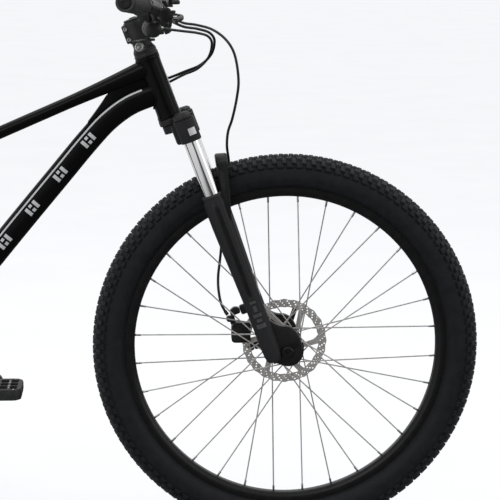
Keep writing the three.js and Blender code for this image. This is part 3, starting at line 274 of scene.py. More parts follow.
def sweep(route, sizes, steps, sides=20, across=None, power=2, dome=0):
    """A tube along a route; sizes(t) gives its half sizes along across and square to it."""
    stops = [(i / steps, 1.0, 0.0) for i in range(steps + 1)]
    if dome:
        bulge = [(math.cos(a), math.sin(a)) for a in (PI / 2 * k / 4 for k in range(1, 4))]
        stops = [(0, c, -s) for c, s in reversed(bulge)] + stops + [(1, c, s) for c, s in bulge]
    offsets = ring_offsets(sides, power)
    rings = []
    first = across or route.ahead(0).orthogonal().normalized()
    for t, scale, past in stops:
        ahead = route.ahead(t)
        start = across if across else first
        first = (start - ahead * start.dot(ahead)).normalized()
        second = ahead.cross(first)
        centre = route.at(t) + ahead * past * dome
        wide, high = sizes(t)
        rings.append([centre + first * (a * wide * scale) + second * (b * high * scale) for a, b in offsets])
    return lofted(rings)


def lofted(rings):
    """A solid through rings of points, closed at both ends."""
    shape = Shape([p for ring in rings for p in ring])
    sides = len(rings[0])
    last = (len(rings) - 1) * sides
    for base in range(0, last, sides):
        for k in range(sides):
            p, q = base + k, base + (k + 1) % sides
            shape.faces.append((p, q, q + sides, p + sides))
    shape.faces.append(tuple(reversed(range(sides))))
    shape.faces.append(tuple(range(last, last + sides)))
    shape.paints = [0] * len(shape.faces)
    return shape


def skin(points, rows, columns):
    """A thin closed shell from a grid of outer points followed by the same grid of inner ones."""
    width = columns + 1
    layer = width * (rows + 1)
    faces = []
    for i in range(rows):
        for j in range(columns):
            p = i * width + j
            outer = (p, p + 1, p + 1 + width, p + width)
            faces.append(outer)
            faces.append(tuple(q + layer for q in reversed(outer)))
    walk = list(range(columns)) + [i * width + columns for i in range(rows)]
    walk += [rows * width + j for j in range(columns, 0, -1)] + [i * width for i in range(rows, 0, -1)]
    for p, q in zip(walk, walk[1:] + walk[:1]):
        faces.append((q, p, p + layer, q + layer))
    return Shape(points, faces)


def between(a, b, radius, sides=24, edge=0.6):
    """A round bar from a to b."""
    a, b = Vector(a), Vector(b)
    turn = (b - a).to_track_quat("Z", "Y").to_matrix().to_4x4()
    return rod(radius, 0, (b - a).length, sides, edge).at(Matrix.Translation(a) @ turn)


def block(x0, x1, y0, y1, z0, z1, edge=1.0, segments=2):
    mesh = bmesh.new()
    bmesh.ops.create_cube(mesh, size=1)
    bmesh.ops.scale(mesh, vec=(x1 - x0, y1 - y0, z1 - z0), verts=mesh.verts)
    bmesh.ops.bevel(mesh, geom=mesh.edges, offset=edge, segments=segments, profile=0.5, affect="EDGES")
    mesh.verts.index_update()
    middle = Vector((x0 + x1, y0 + y1, z0 + z1)) / 2
    shape = Shape([v.co + middle for v in mesh.verts], [[v.index for v in f.verts] for f in mesh.faces])
    mesh.free()
    return shape


def plate(outlines, y0, y1, edge=0.3):
    """A flat plate in the x-z plane, from its outline and the outlines of its holes."""
    curve = bpy.data.curves.new("outline", "CURVE")
    curve.dimensions = "2D"
    curve.fill_mode = "BOTH"
    curve.extrude = (y1 - y0) / 2 - edge
    curve.bevel_depth = edge
    curve.bevel_resolution = 1
    curve.offset = -edge
    for outline in outlines:
        line = curve.splines.new("POLY")
        line.points.add(len(outline) - 1)
        line.use_cyclic_u = True
        for point, (x, z) in zip(line.points, outline):
            point.co = (x, z, 0, 1)
    holder = bpy.data.objects.new("outline", curve)
    bpy.context.scene.collection.objects.link(holder)
    mesh = bpy.data.meshes.new_from_object(holder.evaluated_get(bpy.context.evaluated_depsgraph_get()))
    made = bmesh.new()
    made.from_mesh(mesh)
    bmesh.ops.remove_doubles(made, verts=made.verts, dist=1e-4)
    made.verts.index_update()
    middle = (y0 + y1) / 2
    shape = Shape([(v.co.x, middle - v.co.z, v.co.y) for v in made.verts],
                  [[v.index for v in f.verts] for f in made.faces])
    made.free()
    bpy.data.meshes.remove(mesh)
    bpy.data.objects.remove(holder)
    bpy.data.curves.remove(curve)
    return shape


def circle(x, z, radius, sides=24, start=0.0, stop=2 * PI):
    """Points round a circle, or along the arc between two turns."""
    whole = abs(stop - start - 2 * PI) < 1e-6
    turns = [start + (stop - start) * k / sides for k in range(sides if whole else sides + 1)]
    return [(x + radius * math.cos(turn), z + radius * math.sin(turn)) for turn in turns]


def bolt(radius, height, socket=True):
    """A socket-head bolt standing on z = 0."""
    well = radius * 0.5
    outline = [(0, 0, 0), (radius, 0, 0), (radius, height)]
    if socket:
        outline += [(well, height, 0.1), (well * 0.9, height * 0.45, 0), (0, height * 0.4, 0)]
    else:
        outline += [(0, height + radius * 0.25, 0)]
    return turned(outline, 0.5, 18, 2)


def facing(origin, direction):
    turn = Vector(direction).to_track_quat("Z", "Y").to_matrix().to_4x4()
    return Matrix.Translation(origin) @ turn


def piece(name, shape, materials, body, replaces=(), smooth=36):
    """Makes the object, in metres, with its materials and the solids that it stands for; a body given by name
    becomes its parent, while one given as two bodies and two points leaves it baked in place and the points are
    not used.
    """
    mesh = bpy.data.meshes.new(name)
    mesh.from_pydata([p * MM for p in shape.points], [], shape.faces)
    mesh.polygons.foreach_set("material_index", shape.paints)
    made = bmesh.new()
    made.from_mesh(mesh)
    bmesh.ops.recalc_face_normals(made, faces=made.faces)
    made.to_mesh(mesh)
    made.free()
    mesh.polygons.foreach_set("use_smooth", [True] * len(mesh.polygons))
    mesh.set_sharp_from_angle(angle=smooth * DEG)
    for material in materials if isinstance(materials, (list, tuple)) else [materials]:
        mesh.materials.append(material)
    obj = bpy.data.objects.new(name, mesh)
    bpy.context.scene.collection.objects.link(obj)
    if isinstance(body, str):
        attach(obj, body)
    else:
        Vector(body[2]) * MM
        Vector(body[3]) * MM
        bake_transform(obj)
    if replaces:
        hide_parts(*([replaces] if isinstance(replaces, str) else replaces))
    return obj


# ------------------------------------------------------------------ materials
class Nodes:
    """A short way to write a shader's node tree."""

    def __init__(self, name):
        self.material = bpy.data.materials.new(name)
        self.material.use_nodes = True
        self.tree = self.material.node_tree
        self.shader = self.tree.nodes["Principled BSDF"]
        self.place = self.make("ShaderNodeTexCoord").outputs["Object"]

    def make(self, kind, **values):
        node = self.tree.nodes.new(kind)
        for key, value in values.items():
            setattr(node, key, value)
        return node

    def link(self, output, target):
        self.tree.links.new(output, target)

    def stretched(self, scale):
        mapping = self.make("ShaderNodeMapping")
        mapping.inputs["Scale"].default_value = scale
        self.link(self.place, mapping.inputs["Vector"])
        return mapping.outputs["Vector"]

    def noise(self, scale, detail=3, stretch=None, rough=0.5):
        node = self.make("ShaderNodeTexNoise")
        node.inputs["Scale"].default_value = scale
        node.inputs["Detail"].default_value = detail
        node.inputs["Roughness"].default_value = rough
        self.link(self.stretched(stretch) if stretch else self.place, node.inputs["Vector"])
        return node.outputs["Fac"]

    def cells(self, scale, feature="F1", output="Distance"):
        node = self.make("ShaderNodeTexVoronoi", feature=feature)
        node.inputs["Scale"].default_value = scale
        self.link(self.place, node.inputs["Vector"])
        return node.outputs[output]

    def maths(self, operation, a, b=0.0, c=0.0):
        node = self.make("ShaderNodeMath", operation=operation)
        for socket, value in zip(node.inputs, (a, b, c)):
            if isinstance(value, (int, float)):
                socket.default_value = value
            else:
                self.link(value, socket)
        return node.outputs[0]

    def ramp(self, source, *stops):
        node = self.make("ShaderNodeValToRGB")
        while len(node.color_ramp.elements) < len(stops):
            node.color_ramp.elements.new(0.5)
        for element, (position, colour) in zip(node.color_ramp.elements, stops):
            element.position = position
            element.color = (*colour, 1)
        self.link(source, node.inputs["Fac"])
        return node.outputs["Color"]

    def band(self, source, low, high, start=0, stop=1):
        """Takes start..stop to low..high."""
        node = self.make("ShaderNodeMapRange")
        node.inputs["From Min"].default_value = start
        node.inputs["From Max"].default_value = stop
        node.inputs["To Min"].default_value = low
        node.inputs["To Max"].default_value = high
        self.link(source, node.inputs["Value"])
        return node.outputs["Result"]

    def mix(self, amount, a, b):
        node = self.make("ShaderNodeMix", data_type="RGBA")
        self.link(amount, node.inputs["Factor"])
        for socket, value in zip([s for s in node.inputs if s.type == "RGBA"], (a, b)):
            if isinstance(value, tuple):
                socket.default_value = (*value, 1)
            else:
                self.link(value, socket)
        return [s for s in node.outputs if s.type == "RGBA"][0]

    def from_axle(self, axle):
        """The distance from the axle's line, in metres."""
        part = self.make("ShaderNodeSeparateXYZ")
        self.link(self.place, part.inputs[0])
        legs = [self.maths("SUBTRACT", part.outputs["X"], axle.x * MM),
                self.maths("SUBTRACT", part.outputs["Z"], axle.z * MM)]
        squares = [self.maths("MULTIPLY", leg, leg) for leg in legs]
        return self.maths("SQRT", self.maths("ADD", *squares))

    def bump(self, height, strength, distance, under=None):
        node = self.make("ShaderNodeBump")
        node.inputs["Strength"].default_value = strength
        node.inputs["Distance"].default_value = distance * MM
        self.link(height, node.inputs["Height"])
        if under:
            self.link(under, node.inputs["Normal"])
        self.link(node.outputs["Normal"], self.shader.inputs["Normal"])
        return node.outputs["Normal"]

    def set(self, **values):
        names = {"colour": "Base Color", "rough": "Roughness", "metal": "Metallic", "coat": "Coat Weight",
                 "coat_rough": "Coat Roughness", "ior": "IOR", "sheen": "Sheen Weight",
                 "anisotropic": "Anisotropic", "specular": "Specular IOR Level"}
        for key, value in values.items():
            socket = self.shader.inputs[names[key]]
            if isinstance(value, tuple):
                socket.default_value = (*value, 1)
            elif isinstance(value, (int, float)):
                socket.default_value = value
            else:
                self.link(value, socket)
        return self.material


def edge_wear(n, low=0.52, high=0.6):
    """1 on sharp outside edges, 0 elsewhere, broken up by noise."""
    point = n.make("ShaderNodeNewGeometry").outputs["Pointiness"]
    return n.maths("MULTIPLY", n.band(point, 0, 1, low, high), n.noise(140, 4))


def paint_black(name, tone=0.0016, rough=0.26, coat=0.04):
    """Deep black paint: fine fleck under a clear coat with a trace of orange peel and dust."""
    n = Nodes(name)
    fleck = n.ramp(n.cells(1800, output="Color"), (0.0, (tone, tone, tone * 1.05)),
                   (0.86, (tone * 1.4, tone * 1.4, tone * 1.5)), (0.97, (tone * 3, tone * 3, tone * 3.2)))
    dust = n.noise(9, 5, rough=0.6)
    colour = n.mix(n.band(dust, 0.0, 0.008), fleck, (0.16, 0.16, 0.17))
    n.bump(n.noise(420, 2), 0.06, 0.05)
    return n.set(colour=colour, rough=n.band(dust, rough - 0.06, rough + 0.1), specular=0.06, coat=coat,
                 coat_rough=0.05)


def satin_black(name, tone=0.011, rough=0.42):
    """Anodised alloy: fine blast texture, worn brighter along its edges."""
    n = Nodes(name)
    cloud = n.noise(60, 5)
    base = n.ramp(cloud, (0.3, (tone * 0.75,) * 3), (0.7, (tone * 1.3,) * 3))
    worn = edge_wear(n)
    n.bump(n.noise(1600, 2), 0.18, 0.04)
    return n.set(colour=n.mix(n.maths("MULTIPLY", worn, 0.16), base, (0.25, 0.25, 0.26)), metal=0.2,
                 rough=n.band(cloud, rough - 0.08, rough + 0.1), specular=0.3)


def bright_metal(name, colour, rough, stretch=(1, 1, 1), grain=900, tarnish=0.12, metal=1.0):
    """Bare drawn or machined metal, its grain running along one axis."""
    n = Nodes(name)
    lines = n.noise(grain, 3, stretch)
    cloud = n.noise(45, 4)
    dull = tuple(c * (1 - tarnish * 3) for c in colour)
    n.bump(lines, 0.12, 0.02)
    return n.set(colour=n.ramp(cloud, (0.25, dull), (0.75, colour)), metal=metal,
                 rough=n.band(lines, rough * 0.75, rough * 1.35))


def silver_ink(name, tone):
    """Printed silver: pale flakes in a clear binder."""
    n = Nodes(name)
    flakes = n.ramp(n.cells(1500, output="Color"), (0.0, (tone * 0.8,) * 3), (1.0, (tone, tone, tone * 1.03)))
    cloud = n.noise(50, 4)
    n.bump(n.noise(1300, 2), 0.1, 0.02)
    return n.set(colour=flakes, metal=0.3, rough=n.band(cloud, 0.32, 0.5), specular=0.5)


def chrome(name):
    """Hard chrome with faint sliding marks along the leg."""
    n = Nodes(name)
    marks = n.noise(260, 2, (1, 1, 0.04))
    n.bump(marks, 0.02, 0.01)
    return n.set(colour=n.ramp(n.noise(18, 3), (0.3, (0.7, 0.7, 0.715)), (0.7, (0.8, 0.8, 0.81))), metal=1.0,
                 rough=n.band(marks, 0.045, 0.1))


TREAD_STARTS, TREAD_ENDS = 343, 358.5      # from the axle: where the dusty tread fades in


def tyre_rubber(name, axle):
    """Casing rubber, dark and smooth on the sidewall and greyer and dustier out on the tread."""
    n = Nodes(name)
    out = n.band(n.from_axle(axle), 0, 1, TREAD_STARTS * MM, TREAD_ENDS * MM)
    cloud = n.noise(55, 5, rough=0.65)
    side = n.ramp(cloud, (0.3, (0.0045, 0.005, 0.0068)), (0.75, (0.009, 0.0098, 0.0125)))
    tread = n.ramp(cloud, (0.3, (0.02, 0.0205, 0.0235)), (0.75, (0.042, 0.042, 0.046)))
    fine = n.noise(1500, 3)
    n.bump(fine, 0.3, 0.07, n.bump(n.noise(70, 3), 0.12, 0.3))
    return n.set(colour=n.mix(out, side, tread), rough=n.band(cloud, 0.55, 0.75), specular=0.2)


def rubber(name, tone=0.016):
    n = Nodes(name)
    cloud = n.noise(90, 5)
    n.bump(n.noise(1400, 3), 0.3, 0.06)
    return n.set(colour=n.ramp(cloud, (0.3, (tone * 0.7,) * 3), (0.75, (tone * 1.5,) * 3)),
                 rough=n.band(cloud, 0.62, 0.82))


def moulded(name, tone=0.009, rough=0.5, grain=1100):
    """Moulded nylon with a fine spark-eroded texture and rubbed edges."""
    n = Nodes(name)
    cloud = n.noise(70, 4)
    base = n.ramp(cloud, (0.3, (tone * 0.75,) * 3), (0.75, (tone * 1.35, tone * 1.35, tone * 1.4)))
    n.bump(n.cells(grain), 0.25, 0.06)
    return n.set(colour=n.mix(n.maths("MULTIPLY", edge_wear(n), 0.12), base, (0.2, 0.2, 0.2)),
                 rough=n.band(cloud, rough - 0.06, rough + 0.12), specular=0.35)


def leather(name):
    """Grained synthetic leather."""
    n = Nodes(name)
    cloud = n.noise(40, 5)
    grain = n.cells(620, "DISTANCE_TO_EDGE")
    n.bump(grain, 0.55, 0.16, n.bump(n.noise(900, 2), 0.2, 0.05))
    return n.set(colour=n.ramp(cloud, (0.3, (0.011, 0.011, 0.012)), (0.75, (0.022, 0.022, 0.023))),
                 rough=n.band(cloud, 0.42, 0.58))


def disc_steel(name, axle):
    """Ground stainless steel with rings round the axle and a faint heat tint."""
    n = Nodes(name)
    node = n.make("ShaderNodeTexNoise", noise_dimensions="1D")
    node.inputs["Scale"].default_value = 2600
    node.inputs["Detail"].default_value = 3
    n.link(n.from_axle(axle), node.inputs["W"])
    rings = node.outputs["Fac"]
    n.bump(rings, 0.15, 0.02)
    tint = n.ramp(n.noise(50, 3), (0.3, (0.42, 0.4, 0.37)), (0.7, (0.55, 0.54, 0.52)))
    return n.set(colour=tint, metal=0.55, rough=n.band(rings, 0.22, 0.42))


PAINT = paint_black("frame_paint")
FORK_PAINT = paint_black("fork_paint", 0.0125, 0.42, 0.04)
ARCH_PAINT = paint_black("fork_arch_paint", 0.006, 0.42, 0.04)
SATIN = satin_black("satin_black")
SATIN_DARK = satin_black("satin_black_fine", 0.006, 0.38)
ALLOY = bright_metal("polished_alloy", (0.66, 0.66, 0.67), 0.22, (1, 1, 5))
STEEL = bright_metal("bright_steel", (0.62, 0.62, 0.63), 0.24)
SPOKE_STEEL = bright_metal("spoke_steel", (0.5, 0.48, 0.46), 0.34, grain=500, metal=0.55)
COG_STEEL = bright_metal("cog_steel", (0.42, 0.42, 0.43), 0.3, grain=700)
CHAIN_STEEL = bright_metal("chain_steel", (0.3, 0.29, 0.28), 0.32, grain=400, tarnish=0.2)
SILVER_LINE = silver_ink("silver_line", 0.5)
FAINT_INK = silver_ink("faint_ink", 0.055)
CHROME = chrome("stanchion_chrome")
GRIP_RUBBER = rubber("grip_rubber")
SEAL_RUBBER = rubber("seal_rubber", 0.01)
RIM_BLACK = satin_black("rim_black", 0.006, 0.36)
HUB_BLACK = satin_black("hub_black", 0.005, 0.32)
BOLT_BLACK = satin_black("bolt_black", 0.008, 0.3)
NYLON = moulded("moulded_nylon")
GLOSS_NYLON = moulded("gloss_nylon", 0.004, 0.3, 500)
HOSE = moulded("hose_jacket", 0.006, 0.36, 300)
LEATHER = leather("saddle_leather")

# ------------------------------------------------------------------ camera, light and floor
CAMERA_AT = Vector((0.33095, -4.0, 1.1962))
CAMERA_YAW = 0.04393
CAMERA_PITCH = 0.16247
LENS = 157.62
SENSOR = 36
PALE = (0.94, 0.95, 0.965)
FLOOR_HALF = 60                   # metres
FADE_REACH = 3                    # metres either way along X
CEILING = ((0.0, 0.05), (0.5, 0.05), (0.72, 0.12), (0.9, 0.9))
PANELS = ((0.0, 0.9), (0.3, 0.8), (0.4, 0.0), (0.6, 0.0), (0.7, 0.8), (1.0, 0.95))
BACKDROP = ((0.0, 0.0), (0.55, 0.0), (0.75, 0.8), (1.0, 0.95))


def stage_set():
    scene = bpy.context.scene
    camera_data = bpy.data.cameras.new("camera")
    camera_data.lens = LENS
    camera_data.sensor_width = SENSOR
    camera = bpy.data.objects.new("camera", camera_data)
    camera.location = CAMERA_AT
    camera.rotation_euler = (PI / 2 - CAMERA_PITCH, 0, -CAMERA_YAW)
    scene.collection.objects.link(camera)
    scene.camera = camera
    scene.view_settings.view_transform = "Standard"
    studio_world(scene)
    lamp("key", (-1.4, -2.6, 3.4), (0.2, 0, 0.5), (2.2, 1.4), 26)
    lamp("top", (0.3, 1.1, 3.4), (0.2, 0, 0.5), (3.4, 1.0), 30)
    lamp("side", (4.0, -1.0, 1.9), (0.4, 0, 0.5), (1.2, 2.0), 14)
    floor()


def studio_world(scene):
    """A pale room all round; polished surfaces see its dark walls, bright ceiling and side panels."""
    world = bpy.data.worlds.new("studio")
    world.use_nodes = True
    scene.world = world
    tree = world.node_tree
    make = tree.nodes.new
    back = tree.nodes["Background"]
    back.inputs["Color"].default_value = (*PALE, 1)
    back.inputs["Strength"].default_value = 1.0
    part = make("ShaderNodeSeparateXYZ")
    tree.links.new(make("ShaderNodeTexCoord").outputs["Generated"], part.inputs[0])
    light = None
    for axis, stops in (("X", PANELS), ("Y", BACKDROP), ("Z", CEILING)):
        span = make("ShaderNodeMapRange")
        span.inputs["From Min"].default_value = -1
        tree.links.new(part.outputs[axis], span.inputs["Value"])
        grey = make("ShaderNodeValToRGB")
        grey_ramp(grey, stops)
        tree.links.new(span.outputs["Result"], grey.inputs["Fac"])
        if light is None:
            light = grey.outputs["Color"]
            continue
        brighter = make("ShaderNodeVectorMath")
        brighter.operation = "MAXIMUM"
        tree.links.new(light, brighter.inputs[0])
        tree.links.new(grey.outputs["Color"], brighter.inputs[1])
        light = brighter.outputs[0]
    seen = make("ShaderNodeBackground")
    tree.links.new(light, seen.inputs["Color"])
    choose = make("ShaderNodeMixShader")
    tree.links.new(make("ShaderNodeLightPath").outputs["Is Glossy Ray"], choose.inputs["Fac"])
    tree.links.new(back.outputs[0], choose.inputs[1])
    tree.links.new(seen.outputs[0], choose.inputs[2])
    tree.links.new(choose.outputs[0], tree.nodes["World Output"].inputs["Surface"])


def grey_ramp(node, stops):
    while len(node.color_ramp.elements) < len(stops):
        node.color_ramp.elements.new(0.5)
    for element, (position, grey) in zip(node.color_ramp.elements, stops):
        element.position = position
        element.color = (grey, grey, grey, 1)


def lamp(name, place, target, size, power):
    light = bpy.data.lights.new(name, "AREA")
    light.shape = "RECTANGLE"
    light.size, light.size_y = size
    light.energy = power
    holder = bpy.data.objects.new(name, light)
    holder.location = place
    holder.rotation_euler = (Vector(target) - Vector(place)).to_track_quat("-Z", "Y").to_euler()
    bpy.context.scene.collection.objects.link(holder)


def floor():
    """A pale floor with faint mottling; polished surfaces see it pale behind the bike and dark ahead."""
    n = Nodes("pale_floor")
    n.set(colour=n.ramp(n.noise(3, 2), (0.3, (0.36, 0.365, 0.375)), (0.7, (0.38, 0.385, 0.395))), rough=0.9,
          specular=0.0)
    n.shader.inputs["Emission Color"].default_value = (*PALE, 1)
    n.shader.inputs["Emission Strength"].default_value = 0.6
    along = n.make("ShaderNodeSeparateXYZ")
    n.link(n.place, along.inputs[0])
    fade = n.ramp(n.band(along.outputs["X"], 0, 1, -FADE_REACH, FADE_REACH), (0.0, (0.75,) * 3),
                  (0.35, (0.75,) * 3), (0.5, (0.12,) * 3), (1.0, (0.05,) * 3))
    seen = n.make("ShaderNodeEmission")
    n.link(fade, seen.inputs["Color"])
    choose = n.make("ShaderNodeMixShader")
    n.link(n.make("ShaderNodeLightPath").outputs["Is Glossy Ray"], choose.inputs["Fac"])
    n.link(n.shader.outputs[0], choose.inputs[1])
    n.link(seen.outputs[0], choose.inputs[2])
    n.link(choose.outputs[0], n.tree.nodes["Material Output"].inputs["Surface"])
    mesh = bpy.data.meshes.new("floor")
    corners = [(x * FLOOR_HALF, y * FLOOR_HALF, 0) for x, y in ((-1, -1), (1, -1), (1, 1), (-1, 1))]
    mesh.from_pydata(corners, [], [(0, 1, 2, 3)])
    mesh.materials.append(n.material)
    ground = bpy.data.objects.new("floor", mesh)
    bpy.context.scene.collection.objects.link(ground)


stage_set()


# ------------------------------------------------------------------ hoses and housing
HOSE_RADIUS = 2.5
HOUSING_RADIUS = 2.4
FERRULE = 9


def on_fork(x, y, z):
    return tuple(STEER @ Vector((x, y, z)))


FRONT_HOSE = [
    (347, 174, 984), (359, 152, 972), (383, 118, 954), (412, 95, 950), (440, 70, 943),
    (464, 50, 926), (479, 38, 902), (487, 33, 852), (484, 35, 820), (475, 39, 778),
    on_fork(90, 43, -50), on_fork(79, 46, -73), on_fork(73, 58, -98), on_fork(67, 76, -124),
    on_fork(60, 91, -148), on_fork(45, 97, -177), on_fork(25, 96, -208), on_fork(8, 89, -238),
    on_fork(-3, 80, -262), on_fork(-13, 71, -281), on_fork(-24, 64, -302), on_fork(-32, 58, -324),
    on_fork(-37, 53, -352), on_fork(-35, 49, -368), on_fork(-33, 48, -375.5),
]
REAR_HOSE = [
    (347, -174, 984), (359, -150, 974), (383, -112, 960), (410, -70, 953), (433, -32, 943),
    (442, 0, 926), (436, 22, 900), (416, 32, 880), (390, 35, 869), (362, 33, 858), (335, 31, 849),
    (312, 29, 838), (282, 25, 819), (241, 24, 786), (205, 24, 750), (155, 24.8, 690),
    (41, 26.2, 553), (-60, 27.6, 431), (-100, 28.5, 384), (-127, 29.5, 354), (-152, 31, 342),
    (-188, 35, 334), (-228, 43.5, 337), (-280, 50, 342), (-400, 59.5, 356), (-440, 62, 366),
    (-462, 59, 377), (-476, 56, 386),
]
SHIFT_HOUSING = [
    (341, -178, 962), (356, -158, 958), (384, -118, 952), (410, -76, 946), (430, -36, 937),
    (437, -3, 921), (431, 18, 895), (411, 26, 874), (386, 29, 863), (360, 27.5, 850), (336, 26.5, 838),
    (312, 25.5, 824), (288, 24, 808), (252, 23.4, 778), (216, 23.8, 742), (166, 24.6, 681),
    (52, 26, 544), (-50, 27.5, 422), (-72, 28, 390), (-80, 25, 350), (-96, 14, 306),
    (-122, -4, 286), (-152, -20, 287), (-186, -33, 300), (-228, -43.5, 305), (-280, -50, 312),
    (-400, -58, 327.5), (-490, -67, 338), (-520, -82, 332), (-545, -97, 308), (-572, -104, 287),
    (-598, -99, 284), (-602, -90, 296), (-587, -85, 304),
]
TURN_FROM = (352, 0, 858)         # where the rear lines leave the frame
TURN_TO = (424, 0, 948)           # and where they start to follow the bar


def with_ferrules(points, radius, steps):
    """A hose with a crimped metal ferrule at each end."""
    route = Route(points)
    shape = sweep(route, steady(radius), steps, 14)
    crimp = FERRULE / route.length
    for start, stop in ((0.0, crimp), (1 - crimp, 1.0)):
        shape.add(between(route.at(start), route.at(stop), radius + 0.9, 16, 0.4), paint=1)
    return shape


def cables():
    crossing = ("frame", "steering", TURN_FROM, TURN_TO)
    piece("rear_brake_line", with_ferrules(REAR_HOSE, HOSE_RADIUS, 320), [HOSE, SATIN], crossing,
          "rear_brake_hose")
    piece("gear_housing", with_ferrules(SHIFT_HOUSING, HOUSING_RADIUS, 340), [HOSE, ALLOY], crossing,
          "shift_housing")
    top, foot = Vector(on_fork(60, 90, -110)), Vector(on_fork(-20, 90, -320))
    piece("front_brake_line", with_ferrules(FRONT_HOSE, HOSE_RADIUS, 200), [HOSE, SATIN],
          ("steering", "lowers", top, foot), "front_brake_hose")


cables()


# ------------------------------------------------------------------ wheels
CASING_CENTRE = 321               # the round of the casing, from the axle
CASING = 34.4
TREAD_PITCHES = 120
TREAD_ROWS = (                    # turn round the casing, knob length, width, height, phase
    (9, 7.6, 8.4, 3.9, 0.0), (9, 6.2, 8.4, 3.4, 0.5), (27, 10.5, 8.0, 3.9, 0.25),
    (44, 8.5, 8.2, 4.1, 0.75), (59, 11.0, 6.2, 4.3, 0.3),
)


def knob(length, width, height):
    """A tread block with chamfered edges, standing on z = 0 and rooted below it."""
    a, b, chamfer, root = length / 2, width / 2, 0.9, 2.5
    levels = ((-root, a + 0.9, b + 0.9), (height - chamfer, a, b), (height, a - chamfer, b - chamfer))
    corners = ((-1, -1), (1, -1), (1, 1), (-1, 1))
    points = [(sx * u, sy * v, h) for h, u, v in levels for sx, sy in corners]
    faces = [(3, 2, 1, 0), (8, 9, 10, 11)]
    for base in (0, 4):
        for k in range(4):
            n = (k + 1) % 4
            faces.append((base + k, base + n, base + n + 4, base + k + 4))
    return Shape(points, faces)


def casing():
    """The tyre's carcass about z, from bead to bead."""
    arc = [(CASING_CENTRE + CASING * math.cos(a * DEG), CASING * math.sin(a * DEG))
           for a in range(0, 105, 9)]
    foot = [(306.5, 28.4), (304.6, 25.8), (303.6, 23.6), (301.4, 20.8), (299.9, 17.2), (298.4, 14.2),
            (294.5, 12), (293, 9.6)]
    half = arc + foot
    return lathe([(r, -y) for r, y in reversed(half)] + half[1:], 200)


def tyre():
    shape = casing()
    rng = random.Random(7)
    for pitch in range(TREAD_PITCHES):
        for turn, length, width, height, phase in TREAD_ROWS:
            for side in SIDES:
                lean = side * turn * DEG
                around = 2 * PI * (pitch + phase + (0.5 if side > 0 else 0)) / TREAD_PITCHES
                stand = move(CASING_CENTRE + CASING * math.cos(lean), 0, CASING * math.sin(lean))
                face = Matrix.Rotation(PI / 2 - lean, 4, "Y") @ Matrix.Rotation(PI / 2, 4, "Z")
                place = Matrix.Rotation(around, 4, "Z") @ stand @ face
                shape.add(knob(length, width, height * rng.uniform(0.95, 1.0)), place)
    return shape


def rim():
    outline = [(RIM_BED, -8, 3), (RIM_BED, 8, 3), (288, RIM_HALF, 4), (RIM_HOOK, RIM_HALF, 0.9),
               (RIM_HOOK, 13.8, 0.8), (286, 11), (285, 7), (285, -7), (286, -11), (RIM_HOOK, -13.8, 0.8),
               (RIM_HOOK, -RIM_HALF, 0.9), (288, -RIM_HALF, 4)]
    return lathe(rounded(outline, 1.2), 160)


def valve(turn):
    """A valve through the rim, turned from straight up towards +X, with its cap."""
    outline = [(0, 246, 0), (2.2, 247), (3.2, 249), (3.2, 259), (2.6, 260, 0), (2.6, 279, 0),
               (5.2, 279.5, 0.3), (5.2, 281.8, 0), (0, 281.8, 0)]
    return turned(outline, 0.5, 16).at(Matrix.Rotation(turn, 4, "Y"))


SPOKE = 1.25
SPOKE_PHASE = 0.2
ELBOW = 4.4                       # a bent spoke end, through its flange


def spokes(flanges):
    """Laced spokes with elbows, heads and nipples about Y; nipples are material 1."""
    shape = Shape()
    step = 2 * PI / SPOKES_PER_SIDE
    reach = RIM_BED - 1.5
    for y, side in flanges:
        for i in range(SPOKES_PER_SIDE):
            lead = 1 if i % 2 == 0 else -1
            at_rim = (i + SPOKE_PHASE + (0.5 if side > 0 else 0)) * step
            at_hub = at_rim + lead * (SPOKE_CROSSES - 0.25) * step
            foot = Vector((FLANGE_RADIUS * math.sin(at_hub), y + lead * ELBOW / 2,
                           FLANGE_RADIUS * math.cos(at_hub)))
            head = Vector((reach * math.sin(at_rim), side * 3, reach * math.cos(at_rim)))
            back = foot - Y * lead * ELBOW
            shape.add(between(foot, head, SPOKE, 8, 0))
            shape.add(between(foot, back, SPOKE * 1.1, 8, 0))
            shape.add(between(back, back - Y * lead * 0.8, SPOKE * 1.9, 10, 0.3))
            nipple = between(head.lerp(foot, 0.035), head.lerp(foot, -0.006), SPOKE * 1.6, 10, 0.4)
            shape.add(nipple, paint=1)
    return shape


ROTOR_WAVES = 24
ROTOR_ARMS = 6
ROTOR_DRILLS = 36
ARM_HALF = 0.09                   # half of an arm's turn at the outside
ARM_SLANT = 0.42                  # how far an arm turns on its way in


